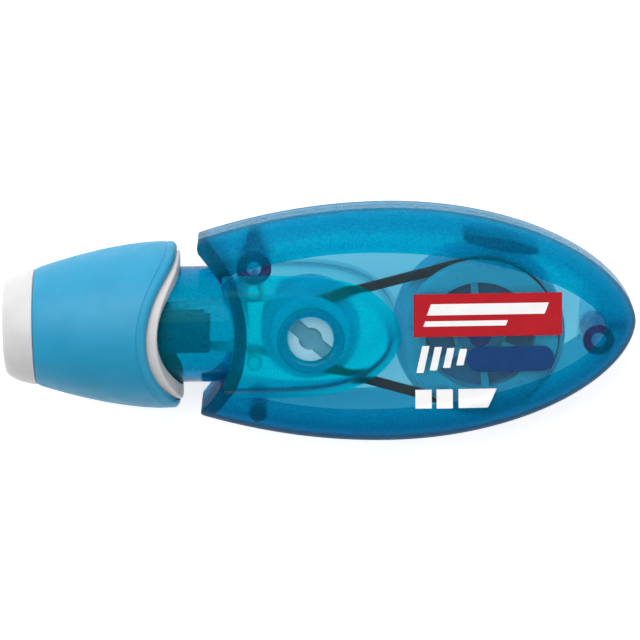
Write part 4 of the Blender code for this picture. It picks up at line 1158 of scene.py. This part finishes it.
def build_print(face):
    """Plain printed shapes: a red field, a blue lozenge and white bars, with no lettering."""
    surface = BVHTree.FromObject(face, bpy.context.evaluated_depsgraph_get())
    red = arc_corners(*in_mm((15.4, -1.1), (39.9, 6.2)), 0.15 * MM, 3)
    printed("print_field", red, PRINT_UNDER, "ink_red", surface)
    blue = arc_corners(*in_mm((24.2, -7.2), (38.6, -2.9)), 2.1 * MM)
    printed("print_lozenge", blue, PRINT_UNDER, "ink_blue", surface)
    slant = in_mm((22.75, -13.3), (27.6, -13.3), (29.1, -10.1), (22.75, -10.1))
    printed("print_slant", slant, PRINT_UNDER, "ink_white", surface)
    bars = [slanted_bar((17.6, 2.6), (37.0, 4.5), 0.7), slanted_bar((17.0, 0.7), (30.6, 1.6), 0.35)]
    for left, low, high in ((15.8, -7.2, -2.6), (18.0, -6.8, -2.8), (20.2, -6.4, -3.0), (22.4, -6.0, -3.2)):
        bars.append(slanted_bar((left, low), (left + 1.2, high), 0.22 * (high - low)))
    for left in (15.6, 19.1):
        bars.append(slanted_bar((left, -13.3), (left + 2.7, -10.1), 0.0))
    for number, bar in enumerate(bars):
        printed(f"print_bar_{number}", bar, PRINT_OVER, "ink_white", surface)


# ---------------------------------------------------------------- CAD nodes that keep their shape

KEPT = {
    "tip_blade": "white",
    # The pulley clip wears the dark web_shade colour, painted shade of the hub.
    "pulley_clip": "web",
    "sleeve_carrier": "white",
    "clutch_ring": "belt",
    "used_film_roll": "film",
    "feed_tape": "tape",
    "return_film": "film",
}


def finish_kept_nodes():
    for name, key in KEPT.items():
        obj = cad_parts[name]
        obj.data.materials.clear()
        obj.data.materials.append(MATERIALS[key])


# ---------------------------------------------------------------- stage, light and camera

def build_stage():
    bm = bmesh.new()
    bmesh.ops.create_grid(bm, x_segments=1, y_segments=1, size=1.5)
    floor = from_bmesh(bm, "floor")
    material, tree, shader, coordinates = start_material("pale_floor")
    tree.links.new(mottle(tree, noise(tree, coordinates, 60 * MM), (0.80, 0.80, 0.80), (0.82, 0.82, 0.82)),
                   shader.inputs["Base Color"])
    set_inputs(shader, Roughness=0.8, Emission_Color=(1, 1, 1, 1), Emission_Strength=FLOOR_GLOW)
    floor.data.materials.append(material)


def build_light():
    world = bpy.data.worlds.new("studio")
    bpy.context.scene.world = world
    world.use_nodes = True
    tree = world.node_tree
    background = tree.nodes["Background"]
    direction = tree.nodes.new("ShaderNodeTexCoord").outputs["Generated"]
    split = tree.nodes.new("ShaderNodeSeparateXYZ")
    tree.links.new(direction, split.inputs["Vector"])
    ramp = tree.nodes.new("ShaderNodeValToRGB")
    ramp.color_ramp.elements[0].position = 0.0
    ramp.color_ramp.elements[0].color = SKY_LEVEL
    ramp.color_ramp.elements[1].position = 0.9
    ramp.color_ramp.elements[1].color = SKY_TOP
    tree.links.new(split.outputs["Z"], ramp.inputs["Fac"])
    side = node(tree, "ShaderNodeMapRange", From_Min=-1.0, From_Max=0.6, To_Min=SKY_LEAST, To_Max=1.0)
    tree.links.new(split.outputs["Y"], side.inputs["Value"])
    shaded = node(tree, "ShaderNodeVectorMath")
    shaded.operation = "SCALE"
    tree.links.new(ramp.outputs["Color"], shaded.inputs["Vector"])
    tree.links.new(side.outputs["Result"], shaded.inputs["Scale"])
    tree.links.new(shaded.outputs["Vector"], background.inputs["Color"])
    set_inputs(background, Strength=WORLD_STRENGTH)

    for name, place, power in LIGHTS:
        light = bpy.data.lights.new(name, "AREA")
        light.size = LIGHT_SIZE
        light.energy = power
        lamp = link(bpy.data.objects.new(name, light))
        lamp.location = place
        lamp.rotation_euler = Vector(place).to_track_quat("Z", "Y").to_euler()
    bpy.context.scene.view_settings.view_transform = "Standard"


def build_camera():
    """Long lens above the wide face, tipped towards +Y, with the object rolled slightly."""
    tip = math.radians(CAMERA_TIP)
    roll = math.radians(CAMERA_ROLL)
    back = Vector((0, math.sin(tip), math.cos(tip)))
    up = Vector((0, math.cos(tip), -math.sin(tip)))
    right = Vector((1, 0, 0)) * math.cos(roll) - up * math.sin(roll)
    up = back.cross(right)
    data = bpy.data.cameras.new("camera")
    data.sensor_width = SENSOR_WIDTH
    data.lens = SENSOR_WIDTH * CAMERA_DISTANCE / VIEW_WIDTH
    data.clip_start = 0.01
    camera = link(bpy.data.objects.new("camera", data))
    target = Vector((0, 0, AXIS)) + up * CAMERA_RISE
    rotation = Matrix((right, up, back)).transposed().to_4x4()
    camera.matrix_world = Matrix.Translation(target + back * CAMERA_DISTANCE) @ rotation
    bpy.context.scene.camera = camera


build_camera()
build_stage()
build_light()
PRINTED_FACE = build_case()
build_sleeve()
build_tip_holder()
build_supply()
build_take_up()
build_belt()
build_print(PRINTED_FACE)
finish_kept_nodes()
for stand_in in STAND_INS:
    bpy.data.materials.remove(stand_in)
